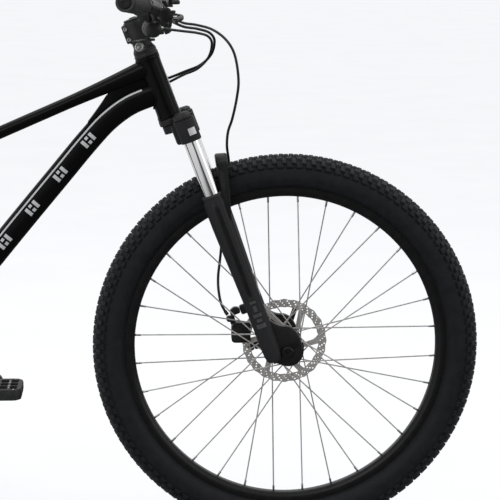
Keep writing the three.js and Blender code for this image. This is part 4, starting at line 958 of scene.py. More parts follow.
def rotor(y, axle):
    """A wavy, drilled brake disc with six slanted arms and its bolts, about Y."""
    around = lambda radius, turn: (radius * math.cos(turn), radius * math.sin(turn))
    wave = lambda turn: 0.8 * math.cos(ROTOR_WAVES * turn)
    edge = [around(79.2 + wave(t), t) for t in (2 * PI * k / 288 for k in range(288))]
    holes = [circle(0, 0, 17, 48)]
    for i in range(ROTOR_ARMS):
        start = 2 * PI * i / ROTOR_ARMS + ARM_HALF
        span = 2 * PI / ROTOR_ARMS - 2 * ARM_HALF
        outer = [around(64.5 - wave(t), t) for t in (start + span * k / 10 for k in range(11))]
        inner = [around(29.5, start + span - ARM_SLANT - span * (0.1 + 0.8 * k / 6)) for k in range(7)]
        holes.append(rounded(outer + inner, 1.2, 1))
    for k in range(ROTOR_DRILLS):
        for row in range(3):
            x, z = around(68.2 + 3.9 * row, 2 * PI * (k + 0.28 * row) / ROTOR_DRILLS)
            holes.append(circle(x, z, 1.5 if k % 3 else 1.1, 10))
    shape = plate([edge, *holes], y - 0.95, y + 0.95, 0.2)
    for k in range(ROTOR_ARMS):
        x, z = around(22.3, 2 * PI * k / ROTOR_ARMS + 0.3)
        shape.add(bolt(3.6, 2.6), move(x, y + 0.9, z) @ ABOUT_Y, paint=1)
        shape.add(bolt(3.6, 1.0, socket=False), facing((x, y - 0.9, z), -Y), paint=1)
    return shape.at(Matrix.Translation(axle))


def hub_shell(outline, axle):
    return lathe(rounded(outline, 2.2, 3), 64).at(Matrix.Translation(axle) @ ABOUT_Y)


FRONT_HUB = [
    (7, -37), (12.5, -37), (13, -33.8, 1), (32.6, -33.4, 1), (32.6, -30.6, 1), (15, -29), (11, -20),
    (11, 12), (15, 20.5), (32.6, 22.6, 1), (32.6, 25.4, 1), (23, 26.4), (22, 28), (22, 38.2), (7, 38.2),
]
REAR_HUB = [
    (9, -27), (16, -27), (16.5, -21.8, 1), (32.6, -21.4, 1), (32.6, -18.6, 1), (18, -17), (14, -8),
    (14, 24), (18, 33), (32.6, 34.6, 1), (32.6, 37.4, 1), (23, 38.4), (22, 40), (22, 53.7), (9, 53.7),
]
FRONT_AXLE_OUTLINE = [
    (0, -73), (3.6, -73, 0.2), (3.6, -75, 0.4), (9.4, -75), (11.6, -73, 1), (11.6, -66.3, 0.6),
    (4.6, -66.3, 0), (4.6, -49.7, 0), (9.5, -49.7), (9.5, -39), (5.5, -39), (5.5, 39.5), (9.5, 39.5),
    (9.5, 49.7), (4.6, 49.7, 0), (4.6, 66.3, 0), (8, 66.3), (8, 72), (0, 72),
]
REAR_AXLE_OUTLINE = [
    (0, -85.8), (7.5, -85.8), (9, -84), (10.5, -76.8, 0.5), (4.8, -76.8, 0), (4.8, -70.2, 0), (9, -70.2),
    (9, -67.5), (6, -67.5), (6, 57), (9, 57), (9, 70.2), (4.8, 70.2, 0), (4.8, 76.8, 0),
    (10.5, 76.8, 0.5), (9, 84), (7.5, 85.8), (0, 85.8),
]


def wheel(end, axle, shell, flanges, rotor_y, valve_turn):
    body = end + "_wheel"
    about = Matrix.Translation(axle)
    piece(end + "_tyre", tyre().at(about @ ABOUT_Y), tyre_rubber(end + "_tyre_rubber", axle), body,
          end + "_tire")
    rim_shape = rim().at(about @ ABOUT_Y)
    rim_shape.add(valve(valve_turn), about, paint=1)
    piece(end + "_wheel_rim", rim_shape, [RIM_BLACK, STEEL], body, end + "_rim")
    piece(end + "_wheel_spokes", spokes(flanges).at(about), [SPOKE_STEEL, STEEL], body, end + "_spokes")
    piece(end + "_hub", hub_shell(shell, axle), HUB_BLACK, body)
    piece(end + "_brake_disc", rotor(rotor_y, axle), [disc_steel(end + "_disc_steel", axle), STEEL], body,
          end + "_rotor")


def axles():
    for name, place, outline, material, body, node in (
            ("front_through_axle", FRONT_AXLE, FRONT_AXLE_OUTLINE, HUB_BLACK, "lowers", "front_axle"),
            ("rear_hub_axle", REAR_AXLE, REAR_AXLE_OUTLINE, SATIN_DARK, "frame", "rear_axle")):
        shape = turned(outline, 0.8, 40).at(Matrix.Translation(place) @ ABOUT_Y)
        piece(name, shape, material, body, node)


def quick_release():
    pivot = FRONT_AXLE + Y * 79.3
    blade = Vector((24, 0, 58))
    pin = blade.cross(Y).normalized() * 7
    shape = between(pivot - pin, pivot + pin, 7, 32, 1)
    run = Route([pivot, pivot + Vector((9, 4, 16)), pivot + Vector((17, 4, 36)), pivot + blade])
    shape.add(sweep(run, lambda t: (3.1 - 0.8 * t, 6.4 - 1.8 * t), 20, 20, Y, 2.6, 1.6))
    piece("quick_release", shape, SATIN, "qr_lever", "front_qr_lever")


wheel("front", FRONT_AXLE, FRONT_HUB, ((-32, -1), (24, 1)), FRONT_ROTOR_Y, -0.52)
wheel("rear", REAR_AXLE, REAR_HUB, ((-20, -1), (36, 1)), REAR_ROTOR_Y, 2.2)
axles()
quick_release()

# ------------------------------------------------------------------ fork
LEG_PROFILE = [
    (0, -466), (10, -466), (14, -462), (16.2, -452), (17, -436), (17, -345), (18.4, -290),
    (20.6, -222), (21.2, -196), (21.2, -151), (20.4, -146.5), (19.2, -145), (19.2, -138), (15.2, -138),
]
SWAP = Matrix(((0, 1, 0, 0), (1, 0, 0, 0), (0, 0, 1, 0), (0, 0, 0, 1)))     # a plate's x across the bike


def quad(a, c, b, steps=8):
    """A quadratic curve from a by c to b, without its first point."""
    a, c, b = Vector(a), Vector(c), Vector(b)
    return [tuple(a * (1 - t) ** 2 + c * 2 * t * (1 - t) + b * t * t)
            for t in (k / steps for k in range(1, steps + 1))]


def leg_radius(z):
    """The lower leg's radius at a height in the steering frame."""
    for (r0, z0), (r1, z1) in zip(LEG_PROFILE, LEG_PROFILE[1:]):
        if z0 <= z <= z1:
            return r0 + (r1 - r0) * (z - z0) / max(z1 - z0, 1e-6)
    return LEG_PROFILE[-1][0]


def patch(radius_at, low, high, start, stop, lift=0.25, sink=0.8, rows=12, columns=8):
    """A thin closed shell over part of a turned piece, between two heights and two turns."""
    points = []
    for depth in (lift, -sink):
        for i in range(rows + 1):
            z = low + (high - low) * i / rows
            r = radius_at(z) + depth
            for j in range(columns + 1):
                turn = start + (stop - start) * j / columns
                points.append((r * math.cos(turn), r * math.sin(turn), z))
    return skin(points, rows, columns)


def fork_foot(side):
    x, z = FORK_FOOT
    points = [(12.5, z - 5), (12.5, z + 40), (34.5, z + 78)]
    points += quad((34.5, z + 78), (x - 2, z + 50), (x + 13, z + 47))
    points += quad((x + 13, z + 47), (x + 30, z + 40), (x + 31, z + 14))
    points += circle(x + 2, z, 28, 26, 0.1, -2.4)
    y0, y1 = (50, 66) if side > 0 else (-66, -50)
    return plate([points, circle(x, z, 5.2, 24)], y0, y1, 2.2)


ARCH_FOOT = -190
ARCH_UNDERSIDE = -91
ARCH_PLATE = 27                   # the plate's thickness before it is mapped
ARCH_BACK = 29.5                  # the back face and the depth, both at the feet
ARCH_DEPTH = 10.5
ARCH_LEAN = 0.19                  # how far both grow with each millimetre up
ARCH_SPREAD = 0.12
ARCH_SLOPE = 0.45


def fork_arch():
    """The brace over the tyre: it leans forward, deepens on its way up and slopes down at the front."""
    edge = [(0, -75), *cubic((0, -75), (30, -75), (48, -86), (60, -108)),
            *cubic((60, -108), (70, -128), (84, -140), (80, ARCH_FOOT))]
    inner = [(50, ARCH_FOOT), (44, -128), *cubic((44, -128), (42, -106), (32, -92), (0, ARCH_UNDERSIDE))]
    half = edge + inner
    other = [(-x, z) for x, z in reversed(half[1:-1])]
    shape = plate([half + other], 0, ARCH_PLATE, 4.5).at(SWAP)
    for v in shape.points:
        forward = v[0] / ARCH_PLATE
        low = v[2] - ARCH_SLOPE * max(0, v[2] - ARCH_UNDERSIDE) * forward
        rise = low - ARCH_FOOT
        v[0] = ARCH_BACK + ARCH_LEAN * rise + (ARCH_DEPTH + ARCH_SPREAD * rise) * forward
        v[2] = low
    return shape


def cubic(a, b, c, d, steps=9):
    """A cubic curve from a to d, without its first point."""
    a, b, c, d = Vector(a), Vector(b), Vector(c), Vector(d)
    return [tuple(a * (1 - t) ** 3 + b * 3 * t * (1 - t) ** 2 + c * 3 * t * t * (1 - t) + d * t ** 3)
            for t in (k / steps for k in range(1, steps + 1))]


def on_leg(side):
    return move(LEG[0], side * LEG[1], 0)


def fork_lowers():
    shape = Shape()
    for side in SIDES:
        shape.add(lathe(rounded(LEG_PROFILE, 0.8, 2, closed=False) + [(0, -140)], 56), on_leg(side))
        shape.add(fork_foot(side), paint=1)
        shape.add(rod(4.5, -470, -465, 20, 0.8), on_leg(side))
    shape.add(fork_arch(), paint=2)
    for low, high in ((-458, -436), (-386, -368)):
        shape.add(block(-8, 14, 50, 64, low, high, 3))
    piece("fork_lower_legs", shape.at(STEER), [FORK_PAINT, HUB_BLACK, ARCH_PAINT], "lowers", "fork_lowers")


SEAL_OUTLINE = [(15.1, -138.5), (19.3, -138.5), (19.5, -137.4), (18.6, -136.4), (18.2, -135), (15.1, -134.4)]
LEG_MARKS = (                     # low, high, half their turn round the leg
    (-396, -388, 0.55), (-384, -378, 0.3), (-374, -368, 0.5), (-364, -352, 0.2), (-348, -343, 0.35),
)


def fork_trim():
    """Dust seals, the recessed stripe down each leg and plain marks near the feet."""
    seals, stripes, marks = Shape(), Shape(), Shape()
    for side in SIDES:
        out = side * PI / 2
        seals.add(lathe(rounded(SEAL_OUTLINE, 0.6), 48), on_leg(side))
        stripes.add(patch(leg_radius, -340, -150, out - 0.3, out + 0.3, 0.3, rows=24), on_leg(side))
        for low, high, half in LEG_MARKS:
            marks.add(patch(leg_radius, low, high, out - half, out + half * 0.9, 0.35, rows=3), on_leg(side))
    piece("fork_seals", seals.at(STEER), SEAL_RUBBER, "lowers")
    piece("fork_leg_stripes", stripes.at(STEER), GLOSS_NYLON, "lowers")
    piece("fork_leg_marks", marks.at(STEER), FAINT_INK, "lowers")


def fork_crown():
    """The cast crown with its leg clamps, and the steerer."""
    edge = [(-64, -30), *quad((-64, -30), (-40, -26), (-34, -15)), (34, -15),
            *quad((34, -15), (40, -26), (64, -30)), (64, 8), *quad((64, 8), (36, 8), (24, 1)), (-24, 1),
            *quad((-24, 1), (-36, 8), (-64, 8))]
    shape = plate([edge], -4, 34, 4).at(SWAP)
    for side in SIDES:
        shape.add(sleeve(15.2, 19.5, -31, 12, 56, 1.6), on_leg(side))
    steerer = [(0, -10), (20, -10), (20, 4.5), (14.3, 4.5), (14.3, 205), (0, 205)]
    shape.add(turned(steerer, 1.2, 56))
    piece("crown_and_steerer", shape.at(STEER), FORK_PAINT, "steering", "fork_crown")
    mark = patch(lambda z: 19.5, -19, -6, -1.5, -0.75, 0.3, rows=2).at(on_leg(-1))
    piece("crown_mark", mark.at(STEER), SILVER_LINE, "steering")


def stanchions():
    """The chromed tubes; the left one ends in a cap, the right one under the lockout knob."""
    for side, label, top in ((-1, "right", 10), (1, "left", 12.3)):
        outline = [(0, -246), (STANCHION, -246), (STANCHION, top), (0, top)]
        shape = turned(outline, 0.8, 72).at(on_leg(side))
        if side > 0:
            cap = [(0, top, 0), (17, top), (17, 16.5), (13, 20), (5, 20), (4, 17, 0.3), (0, 17, 0)]
            shape.add(turned(cap, 0.8, 32), on_leg(side), paint=1)
        piece("stanchion_tube_" + label, shape.at(STEER), [CHROME, SATIN], "steering", "stanchion_" + label)


def lockout_knob():
    knob_shape = turned([(0, 12.3, 0), (17, 12.3), (16.6, 18), (14, 21), (12.2, 24), (0, 24)], 1.4, 48)
    for x, y in circle(0, 0, 16.2, 24):
        knob_shape.add(rod(0.9, 13, 18.6, 8, 0.3), move(x, y, 0))
    knob_shape.add(block(-3, 19.5, -2.5, 2.5, 14, 19, 1.2), paint=1)
    piece("lockout_dial", knob_shape.at(STEER @ on_leg(-1)), [NYLON, SATIN], "lockout", "fork_lockout_knob")


def caliper(length, height, inner, outer):
    """A two-piece brake caliper about its middle, with a round cap on its outer half and its bolts."""
    a, b = length / 2, height / 2
    edge = rounded([(-a, -b, 8), (a, -b, 3), (a, b, 3), (-a, b, 10)], 3, 4)
    split = (inner + outer) / 2
    shape = plate([edge], inner, split - 0.4, 1.6)
    shape.add(plate([edge], split + 0.4, outer, 1.6))
    shape.add(plate([circle(0, 0, min(a, b) * 0.72, 28)], outer - 0.5, outer + 1.6, 0.8))
    for x, z in ((-a + 5, b - 6), (a - 5, -b + 6)):
        shape.add(bolt(3.4, 2.4), move(x, outer - 0.2, z) @ ABOUT_Y, paint=1)
        shape.add(bolt(3.2, 2.2), facing((x, inner + 0.2, z), -Y), paint=1)
    return shape


def front_caliper():
    """The body hangs level behind the left leg, on a thin curved arm above and a foot below."""
    shape = caliper(36, 38, 27, 49.5).at(move(-21, 0, -413) @ Matrix.Rotation(STEER_TILT, 4, "Y"))
    arm = rounded([(-8.3, -369), (-17, -365), (-27, -369), (-28.5, -381), (-34, -386), (-33, -402),
                   (-24, -402), (-22, -380), (-8.3, -380)], 4, 4)
    shape.add(plate([arm], 44, 58, 2))
    shape.add(block(-19, -8.3, 44, 60, -456, -434, 3))
    shape.add(rod(5.6, 44, 57, 24, 0.8), move(-33, 0, -383.6) @ ABOUT_Y, paint=1)
    shape.add(bolt(4.4, 4), facing((-18.6, 53, -445), (-1, 0, 0)), paint=1)
    piece("front_brake_caliper", shape.at(STEER), [SATIN_DARK, SATIN], "lowers", "front_caliper")


fork_lowers()
fork_trim()
fork_crown()
stanchions()
lockout_knob()
front_caliper()

# ------------------------------------------------------------------ headset, stem and bar
def bar_point(y):
    """The bar's centre line outside its bends."""
    out = abs(y) - BEND_Y
    return BAR_CENTRE + Vector((-BEND_BACK - out * math.tan(BACK_SWEEP), y, BAR_RISE + out * math.tan(UP_SWEEP)))


def bar_frame(y):
    """A frame on the bar: z runs outwards along it and x stays forward."""
    here = bar_point(y)
    along = (bar_point(y + math.copysign(1, y)) - here).normalized()
    ahead = (X - along * X.dot(along)).normalized()
    rows = Matrix((ahead, along.cross(ahead), along)).transposed().to_4x4()
    return Matrix.Translation(here) @ rows


def headset():
    low = [(15, 5), (21, 5), (23.4, 7), (23.4, 14), (22.8, 16.9), (15, 16.9)]
    high = [(15, 137.3), (22.4, 137.3), (22.4, 141), (21.4, 143), (21.8, 147.2), (15, 147.2)]
    for name, outline, edge in (("lower", low, 0.8), ("upper", high, 0.7)):
        cup = lathe(rounded(outline, edge), 64).at(STEER)
        piece(name + "_cup", cup, SATIN, "frame", name + "_headset_cup")
    cover = [(14.8, 147.5), (21.4, 147.5), (21.2, 149.5), (18, 155.4), (18, 156.4, 0.2), (17.6, 156.6, 0.2),
             (17.6, 165.7), (14.8, 165.7)]
    shape = lathe(rounded(cover, 0.6), 64)
    ring = sleeve(4.4, 8.6, 0, 2.2, 32, 0.7)
    ring.add(lathe([(0, 0), (4.2, 0), (4.2, 0.9), (0, 1.3)], 24), paint=1)
    seat = Matrix.Translation((-6, -18.2, 157.5)) @ Matrix.Rotation(PI / 2, 4, "X")
    shape.add(ring, seat, paint=1)
    piece("headset_cover", shape.at(STEER), [SATIN, ALLOY], "steering", "headset_spacer")


def stem():
    """The clamp round the steerer, the neck and the back half of the bar clamp."""
    shape = sleeve(14.9, 20, STEM_LOW, STEM_HIGH, 64, 2)
    for side in SIDES:
        y0, y1 = sorted((side * 1.2, side * 12))
        shape.add(block(-25, -13, y0, y1, STEM_LOW + 3, STEM_HIGH - 3, 2.4))
    neck = Route([(10, 0, BAR_HEIGHT), (20, 0, BAR_HEIGHT), (STEM_LENGTH - 14, 0, BAR_HEIGHT)])
    shape.add(sweep(neck, lambda t: (15.5 + 2 * t, 14 - 1 * t), 12, 32, Y, 3.4))
    shape.add(clamp_half(PI / 2 + CLAMP_GAP, 3 * PI / 2 - CLAMP_GAP))
    for z in (STEM_LOW + 10, STEM_HIGH - 10):
        shape.add(bolt(3.9, 4), move(-19, 11.5, z) @ ABOUT_Y, paint=1)
        shape.add(bolt(3.9, 3), facing((-19, -11.5, z), -Y), paint=1)
    piece("stem_body", shape.at(STEER), [SATIN, STEEL], "steering", "stem")
    face = clamp_half(-PI / 2 + CLAMP_GAP, PI / 2 - CLAMP_GAP)
    for y in (-19, 19):
        for dz in (-19.5, 19.5):
            face.add(rod(4.6, 0, 9, 24, 1), facing((STEM_LENGTH + 1, y, BAR_HEIGHT + dz), X))
            face.add(bolt(3.6, 3.6), facing((STEM_LENGTH + 9.5, y, BAR_HEIGHT + dz), X), paint=1)
    piece("stem_clamp_plate", face.at(STEER), [SATIN, STEEL], "steering", "stem_faceplate")
    cap = turned([(0, 206.3, 0), (18, 206.3), (17.4, 210), (7, 210.3), (6, 212), (3, 212), (2.6, 209, 0),
                  (0, 209, 0)], 0.8, 48)
    piece("top_cap", cap.at(STEER), SATIN_DARK, "steering", "stem_cap")


CLAMP_HALF = 25
CLAMP_INNER = 16.1
CLAMP_OUTER = 21.6
CLAMP_GAP = 0.03                  # the turn left open at each end of a half


def clamp_half(start, stop):
    """Half of the bar's clamp: a curved shell from one turn to another about the bar."""
    arc = circle(STEM_LENGTH, BAR_HEIGHT, CLAMP_OUTER, 20, start, stop)
    back = circle(STEM_LENGTH, BAR_HEIGHT, CLAMP_INNER, 20, stop, start)
    return plate([arc + back], -CLAMP_HALF, CLAMP_HALF, 0.9)


def handlebar():
    half = [bar_point(y) for y in (BAR_HALF, 300, 200, BEND_Y)]
    half += [BAR_CENTRE + Vector(p) for p in ((-4, 92, 15), (0, 50, 0), (0, 26, 0))]
    points = [Vector((p.x, -p.y, p.z)) for p in half] + half[::-1]

    def size(t):
        swell = min(max((0.2 - abs(t - 0.5) * 2) / 0.09, 0), 1)
        swell = swell * swell * (3 - 2 * swell)
        radius = BAR_RADIUS + (BAR_CLAMP - BAR_RADIUS) * swell
        return radius, radius

    piece("riser_bar", sweep(Route(points), size, 220, 32, X), SATIN, "steering", "handlebar")


GRIP_START = 256
GRIP_RIBS = 26


def grip(side, label):
    """A ribbed rubber grip with a lock ring, a flange and an end plug, along the bar."""
    place = bar_frame(side * GRIP_START)
    length = (bar_point(BAR_HALF + 2) - bar_point(GRIP_START)).length
    outline = [(11.5, 0), (18.8, 0.4), (19, 3), (17.4, 6), (15.6, 8)]
    step = (length - 24) / GRIP_RIBS
    for k in range(GRIP_RIBS):
        z = 10 + step * k
        swell = 0.5 * math.sin(PI * k / (GRIP_RIBS - 1))
        outline += [(15.2 + swell, z), (15.9 + swell, z + step * 0.25), (15.9 + swell, z + step * 0.6),
                    (15.2 + swell, z + step * 0.85)]
    outline += [(15.6, length - 13), (16.2, length - 11), (16.2, length - 1.5), (15.2, length),
                (11.5, length)]
    shape = lathe(outline, 48)
    plug = turned([(0, length - 5, 0), (11.4, length - 5, 0), (11.4, length - 0.6), (9, length + 0.6),
                   (3.2, length + 0.2), (0, length - 0.4)], 0.5, 40)
    shape.add(plug, paint=1)
    collar = sleeve(15.2, 16.2, length - 10.5, length - 2.5, 48, 0.6)
    shape.add(collar, paint=1)
    piece("grip_" + label + "_rubber", shape.at(place), [GRIP_RUBBER, SATIN_DARK], "steering",
          "grip_" + label)


def brake_master(side, label):
    """The brake lever's body: its split clamp, reservoir with a lid, and the hose joint."""
    at = bar_frame(side * MASTER_Y)
    shape = sleeve(11.6, 15, -6, 6, 48, 1.2).at(at)
    spot = lambda dx, y, dz: bar_point(side * MASTER_Y) + Vector((dx, side * (y - MASTER_Y), dz))
    shape.add(between(spot(8, MASTER_Y, -3), spot(34, MASTER_Y, -13), 9, 24, 2))
    run = Route([spot(37, 247, -15), spot(36, 212, -17), spot(33, 178, -19)])
    shape.add(sweep(run, lambda t: (10.4 - 0.6 * t, 13 - 4.6 * t), 24, 28, X, 3.2, 2.5))
    lid = Route([spot(37, 244, -6.5), spot(36, 216, -8.4), spot(34.5, 190, -10.8)])
    shape.add(sweep(lid, lambda t: (7.4 - 0.6 * t, 3.6), 16, 24, X, 4, 0.6), paint=1)
    for y in (240, 198):
        shape.add(bolt(2.2, 1.2), facing(spot(36.6, y, -4.4 - (240 - y) * 0.09), Z), paint=2)
    for low, high in ((-26.5, -22.3), (-11.7, -7.5)):
        shape.add(between(spot(46, 240, low), spot(46, 240, high), 8.6, 24, 1))
    shape.add(between(spot(40, 241, -26.5), spot(40, 241, -7.5), 5, 16, 1))
    pivot = spot(51, 242, -17)
    shape.add(between(pivot - Z * 10, pivot + Z * 10, 2.2, 12, 0.5), paint=2)
    shape.add(between(spot(33.4, 182, -18.8), spot(28, 171, -19.2), 4.6, 6, 0.5), paint=1)
    shape.add(block(-9, 9, -5.6, 5.6, -26, -11, 2.5), Matrix.Translation(bar_point(side * MASTER_Y)))
    shape.add(bolt(2.8, 2.4), facing(spot(-8.8, MASTER_Y, -20), -X), paint=2)
    piece("brake_body_" + label, shape, [SATIN_DARK, GLOSS_NYLON, BOLT_BLACK], "steering",
          "brake_master_" + label)


def brake_lever(side, label):
    pin = bar_point(side * MASTER_Y) + Vector((51, side * 10, -17))
    spot = lambda dx, dy, dz: pin + Vector((dx, side * dy, dz))
    shape = between(spot(0, 0, -4.8), spot(0, 0, 4.8), 6, 28, 1)
    blade = ((2, 0, 0), (13, 14, -1), (12, 34, -2), (4, 62, -3), (0, 88, -3), (4, 103, -3))
    waist = lambda t: math.sin(PI * t)
    size = lambda t: (3.1 + 0.5 * waist(t), 4.9 - 0.9 * waist(t) + 0.6 * t)
    shape.add(sweep(Route([spot(*p) for p in blade]), size, 60, 20, X, 2.6, 2.4))
    shape.add(between(spot(8, 8, -1), spot(-1, 12, -1), 2, 12, 0.4), paint=1)
    piece("lever_blade_" + label, shape, [SATIN, STEEL], "lever_" + label, "brake_lever_" + label)


def shifter():
    base = bar_point(SHIFTER_Y)
    spot = lambda dx, dy, dz: base + Vector((dx, dy, dz))
    shape = sleeve(11.6, 14, -4.5, 4.5, 40, 1).at(bar_frame(SHIFTER_Y))
    shape.add(between(spot(0, 0, -10), spot(4, 4, -30), 5.8, 20, 1))
    middle = spot(8, 8, -39)
    lean = Matrix.Translation(middle) @ Matrix.Rotation(12 * DEG, 4, "Z") @ ABOUT_Y
    pod = [(0, -26, 0), (8, -25.4), (13.4, -21), (15, -13), (15, -5), (15, 11), (13.4, 20), (8, 25), (0, 26, 0)]
    shape.add(turned(pod, 4, 48, 4).at(lean), paint=1)
    shape.add(sleeve(14, 15.4, -4, -2.4, 48, 0.5).at(lean), paint=0)
    barrel = Matrix.Translation(spot(8, 6, -36)) @ Matrix.Rotation(0.2, 4, "Z") @ ABOUT_Y
    shape.add(rod(4.2, 20, 31, 20, 1), barrel, paint=2)
    piece("gear_shifter", shape, [SATIN_DARK, NYLON, SATIN], "steering", "shifter")
    at = base + Vector((-2, 2, -54.5))
    lever = between(at + Vector((8, 4, -1)), at + Vector((8, 4, -5)), 7.8, 28, 0.8)
    run = Route([at + Vector(p) for p in ((6, 0, -3), (-8, -10, -4), (-18, -24, -5))])
    lever.add(sweep(run, lambda t: (1.9, 4.9 + 2.9 * t), 24, 20, Z, 3, 1.4))
    piece("thumb_lever", lever, NYLON, "shift_lever", "shifter_lever")


headset()
stem()
handlebar()
for side, label in ((-1, "right"), (1, "left")):
    grip(side, label)
    brake_master(side, label)
    brake_lever(side, label)
shifter()


# ------------------------------------------------------------------ frame tubes
DOWN_TUBE = [CRANK_AXLE + Vector((4, 0, 12)), (46, 0, 548.7), (160, 0, 686), (212, 0, 748), (246, 0, 784),
             (286, 0, 813), (344, 0, 836)]


def on_steer(z):
    return STEER @ Vector((0, 0, z))


def on_seat(z):
    return SEAT @ Vector((0, 0, z))


def weld(trace, radius=1.9):
    """A rippled weld bead along a closed line of points."""
    line = [Vector(p) for p in trace]
    line.append(line[0])
    route = Route(line, 4)
    ripples = route.length / 2.6
    size = lambda t: (radius * (1 + 0.12 * math.sin(2 * PI * ripples * t)),) * 2
    return sweep(route, size, max(40, int(ripples * 4)), 8)


def weld_round(place, radius, start, direction):
    """Where lines from the start points along direction meet a cylinder about place's z."""
    inverse = place.inverted()
    trace = []
    for origin in start:
        p, d = inverse @ origin, (inverse.to_3x3() @ direction)
        a = d.x * d.x + d.y * d.y
        b = 2 * (p.x * d.x + p.y * d.y)
        c = p.x * p.x + p.y * p.y - radius * radius
        under = max(b * b - 4 * a * c, 0)
        trace.append(origin + direction * ((-b - math.sqrt(under)) / (2 * a)))
    return trace


def section(centre, ahead, wide, high, sides=40):
    first = (Y - ahead * Y.dot(ahead)).normalized()
    second = ahead.cross(first)
    return [centre + first * (wide * math.cos(a)) + second * (high * math.sin(a))
            for a in (2 * PI * k / sides for k in range(sides))]


def top_size(t):
    flare = max(0, (t - 0.72) / 0.28) ** 1.6
    return 16 + 4 * flare, 11.3 + 7.5 * flare


def down_size(t):
    return 19 + 4 * (1 - t), 22


def head_tube():
    outline = [(18, 17.3), (22.7, 17.3), (22.7, 21), (21.6, 25), (21.4, 34), (21.4, 121), (21.8, 128),
               (22.5, 131), (22.5, 137), (18, 137)]
    shape = lathe(rounded(outline, 0.8), 72).at(STEER)
    piece("head_tube_shell", shape, PAINT, "frame", "head_tube")
    badge = patch(lambda z: 21.4, 60, 92, -0.32, 0.32, 0.8, rows=10).at(STEER)
    piece("head_badge_plate", badge, SILVER_LINE, "frame")


def top_tube():
    back, front = on_seat(340), on_steer(116)
    route = Route([back, back.lerp(front, 0.5), front])
    ahead = (front - back).normalized()
    shape = sweep(route, top_size, 60, 40, Y)
    beads = weld(weld_round(STEER, 21.8, section(front - ahead * 60, ahead, *top_size(0.985)), ahead))
    beads.add(weld(weld_round(SEAT, 17.8, section(back + ahead * 60, -ahead, *top_size(0.02)), -ahead)))
    shape.add(beads)
    piece("top_tube_shell", shape, PAINT, "frame", "top_tube")


def down_tube():
    """The down tube, with the web that closes the gap behind the head tube."""
    route = Route(DOWN_TUBE)
    shape = sweep(route, down_size, 120, 44, Y)
    web = [(207, 770), (210, 781), *quad((210, 781), (228, 804), (243, 827)), (262, 848), (312, 869),
           (327, 821), (288, 800)]
    shape.add(plate([web], -9, 9, 3))
    ahead = route.ahead(0.97)
    shape.add(weld(weld_round(STEER, 21.8, section(route.at(0.9), ahead, *down_size(0.97)), ahead)))
    ahead = route.ahead(0.02)
    shape.add(weld(weld_round(CRANK_LINE, 21.6, section(route.at(0.12), -ahead, *down_size(0.02)), -ahead)))
    piece("down_tube_shell", shape, PAINT, "frame", "down_tube")
    graphics(route)


def strip(route, t0, t1, start, stop, lift=0.3, sink=0.6, steps=60, columns=3):
    """A thin band on the down tube between two turns about it: 0 is up, + towards the rider's right."""
    points = []
    for depth in (lift, -sink):
        for i in range(steps + 1):
            t = t0 + (t1 - t0) * i / steps
            ahead = route.ahead(t)
            side = (-Y - ahead * (-Y).dot(ahead)).normalized()
            up = side.cross(ahead).normalized()
            up = up if up.z > 0 else -up
            wide, high = down_size(t)
            for j in range(columns + 1):
                turn = start + (stop - start) * j / columns
                points.append(route.at(t) + up * ((high + depth) * math.cos(turn)) +
                              side * ((wide + depth) * math.sin(turn)))
    return skin(points, steps, columns)


MARK_GROUPS = 6
MARK_PITCH = 0.114
FIRST_MARK = 0.1825
MARK_BAR = 0.009
MARK_BARS = ((0, 1.17, 1.9), (0.014, 1.17, 1.42), (0.014, 1.62, 1.9), (0.028, 1.17, 1.9))


def graphics(route):
    """Plain trim on both sides of the down tube: a fine line near its top edge and bars below it."""
    line, marks = Shape(), Shape()
    for side in SIDES:
        line.add(strip(route, 0.04, 0.955, -side * 0.78, -side * 0.95, steps=160))
        for k in range(MARK_GROUPS):
            start = FIRST_MARK + MARK_PITCH * k
            for along, low, high in MARK_BARS:
                t = start + along
                marks.add(strip(route, t, t + MARK_BAR, -side * low, -side * high, steps=4, columns=6))
    piece("down_tube_line", line, SILVER_LINE, "frame")
    piece("down_tube_marks", marks, SILVER_LINE, "frame")


def bottom_bracket():
    outline = [(12.8, -36.4), (21, -36.4), (21, 36.4), (12.8, 36.4)]
    shape = lathe(rounded(outline, 1.4), 64).at(CRANK_LINE)
    for side in SIDES:
        low, high = sorted((side * 36.5, side * 44))
        shape.add(sleeve(12.8, 19.8, low, high, 48, 1).at(CRANK_LINE), paint=1)
        for x, y in circle(0, 0, 19.2, 16):
            shape.add(rod(1.5, low + 0.6, high - 0.6, 10, 0.3).at(CRANK_LINE @ move(x, y, 0)), paint=1)
    piece("bottom_bracket", shape, [PAINT, SATIN_DARK], "frame", "bb_shell")


def seat_tube():
    radius = 17.4
    outline = [(0, 20, 0), (radius, 20, 0), (radius, SEAT_TUBE_LENGTH), (15.8, SEAT_TUBE_LENGTH), (15.8, 152, 0),
               (0, 152, 0)]
    shape = turned(outline, 0.5, 64).at(SEAT)
    start = [SEAT @ Vector((x, y, 60)) for x, y in circle(0, 0, radius, 40)]
    shape.add(weld(weld_round(CRANK_LINE, 21.3, start, SEAT.to_3x3() @ -Z), 1.7))
    piece("seat_tube_shell", shape, PAINT, "frame", "seat_tube")


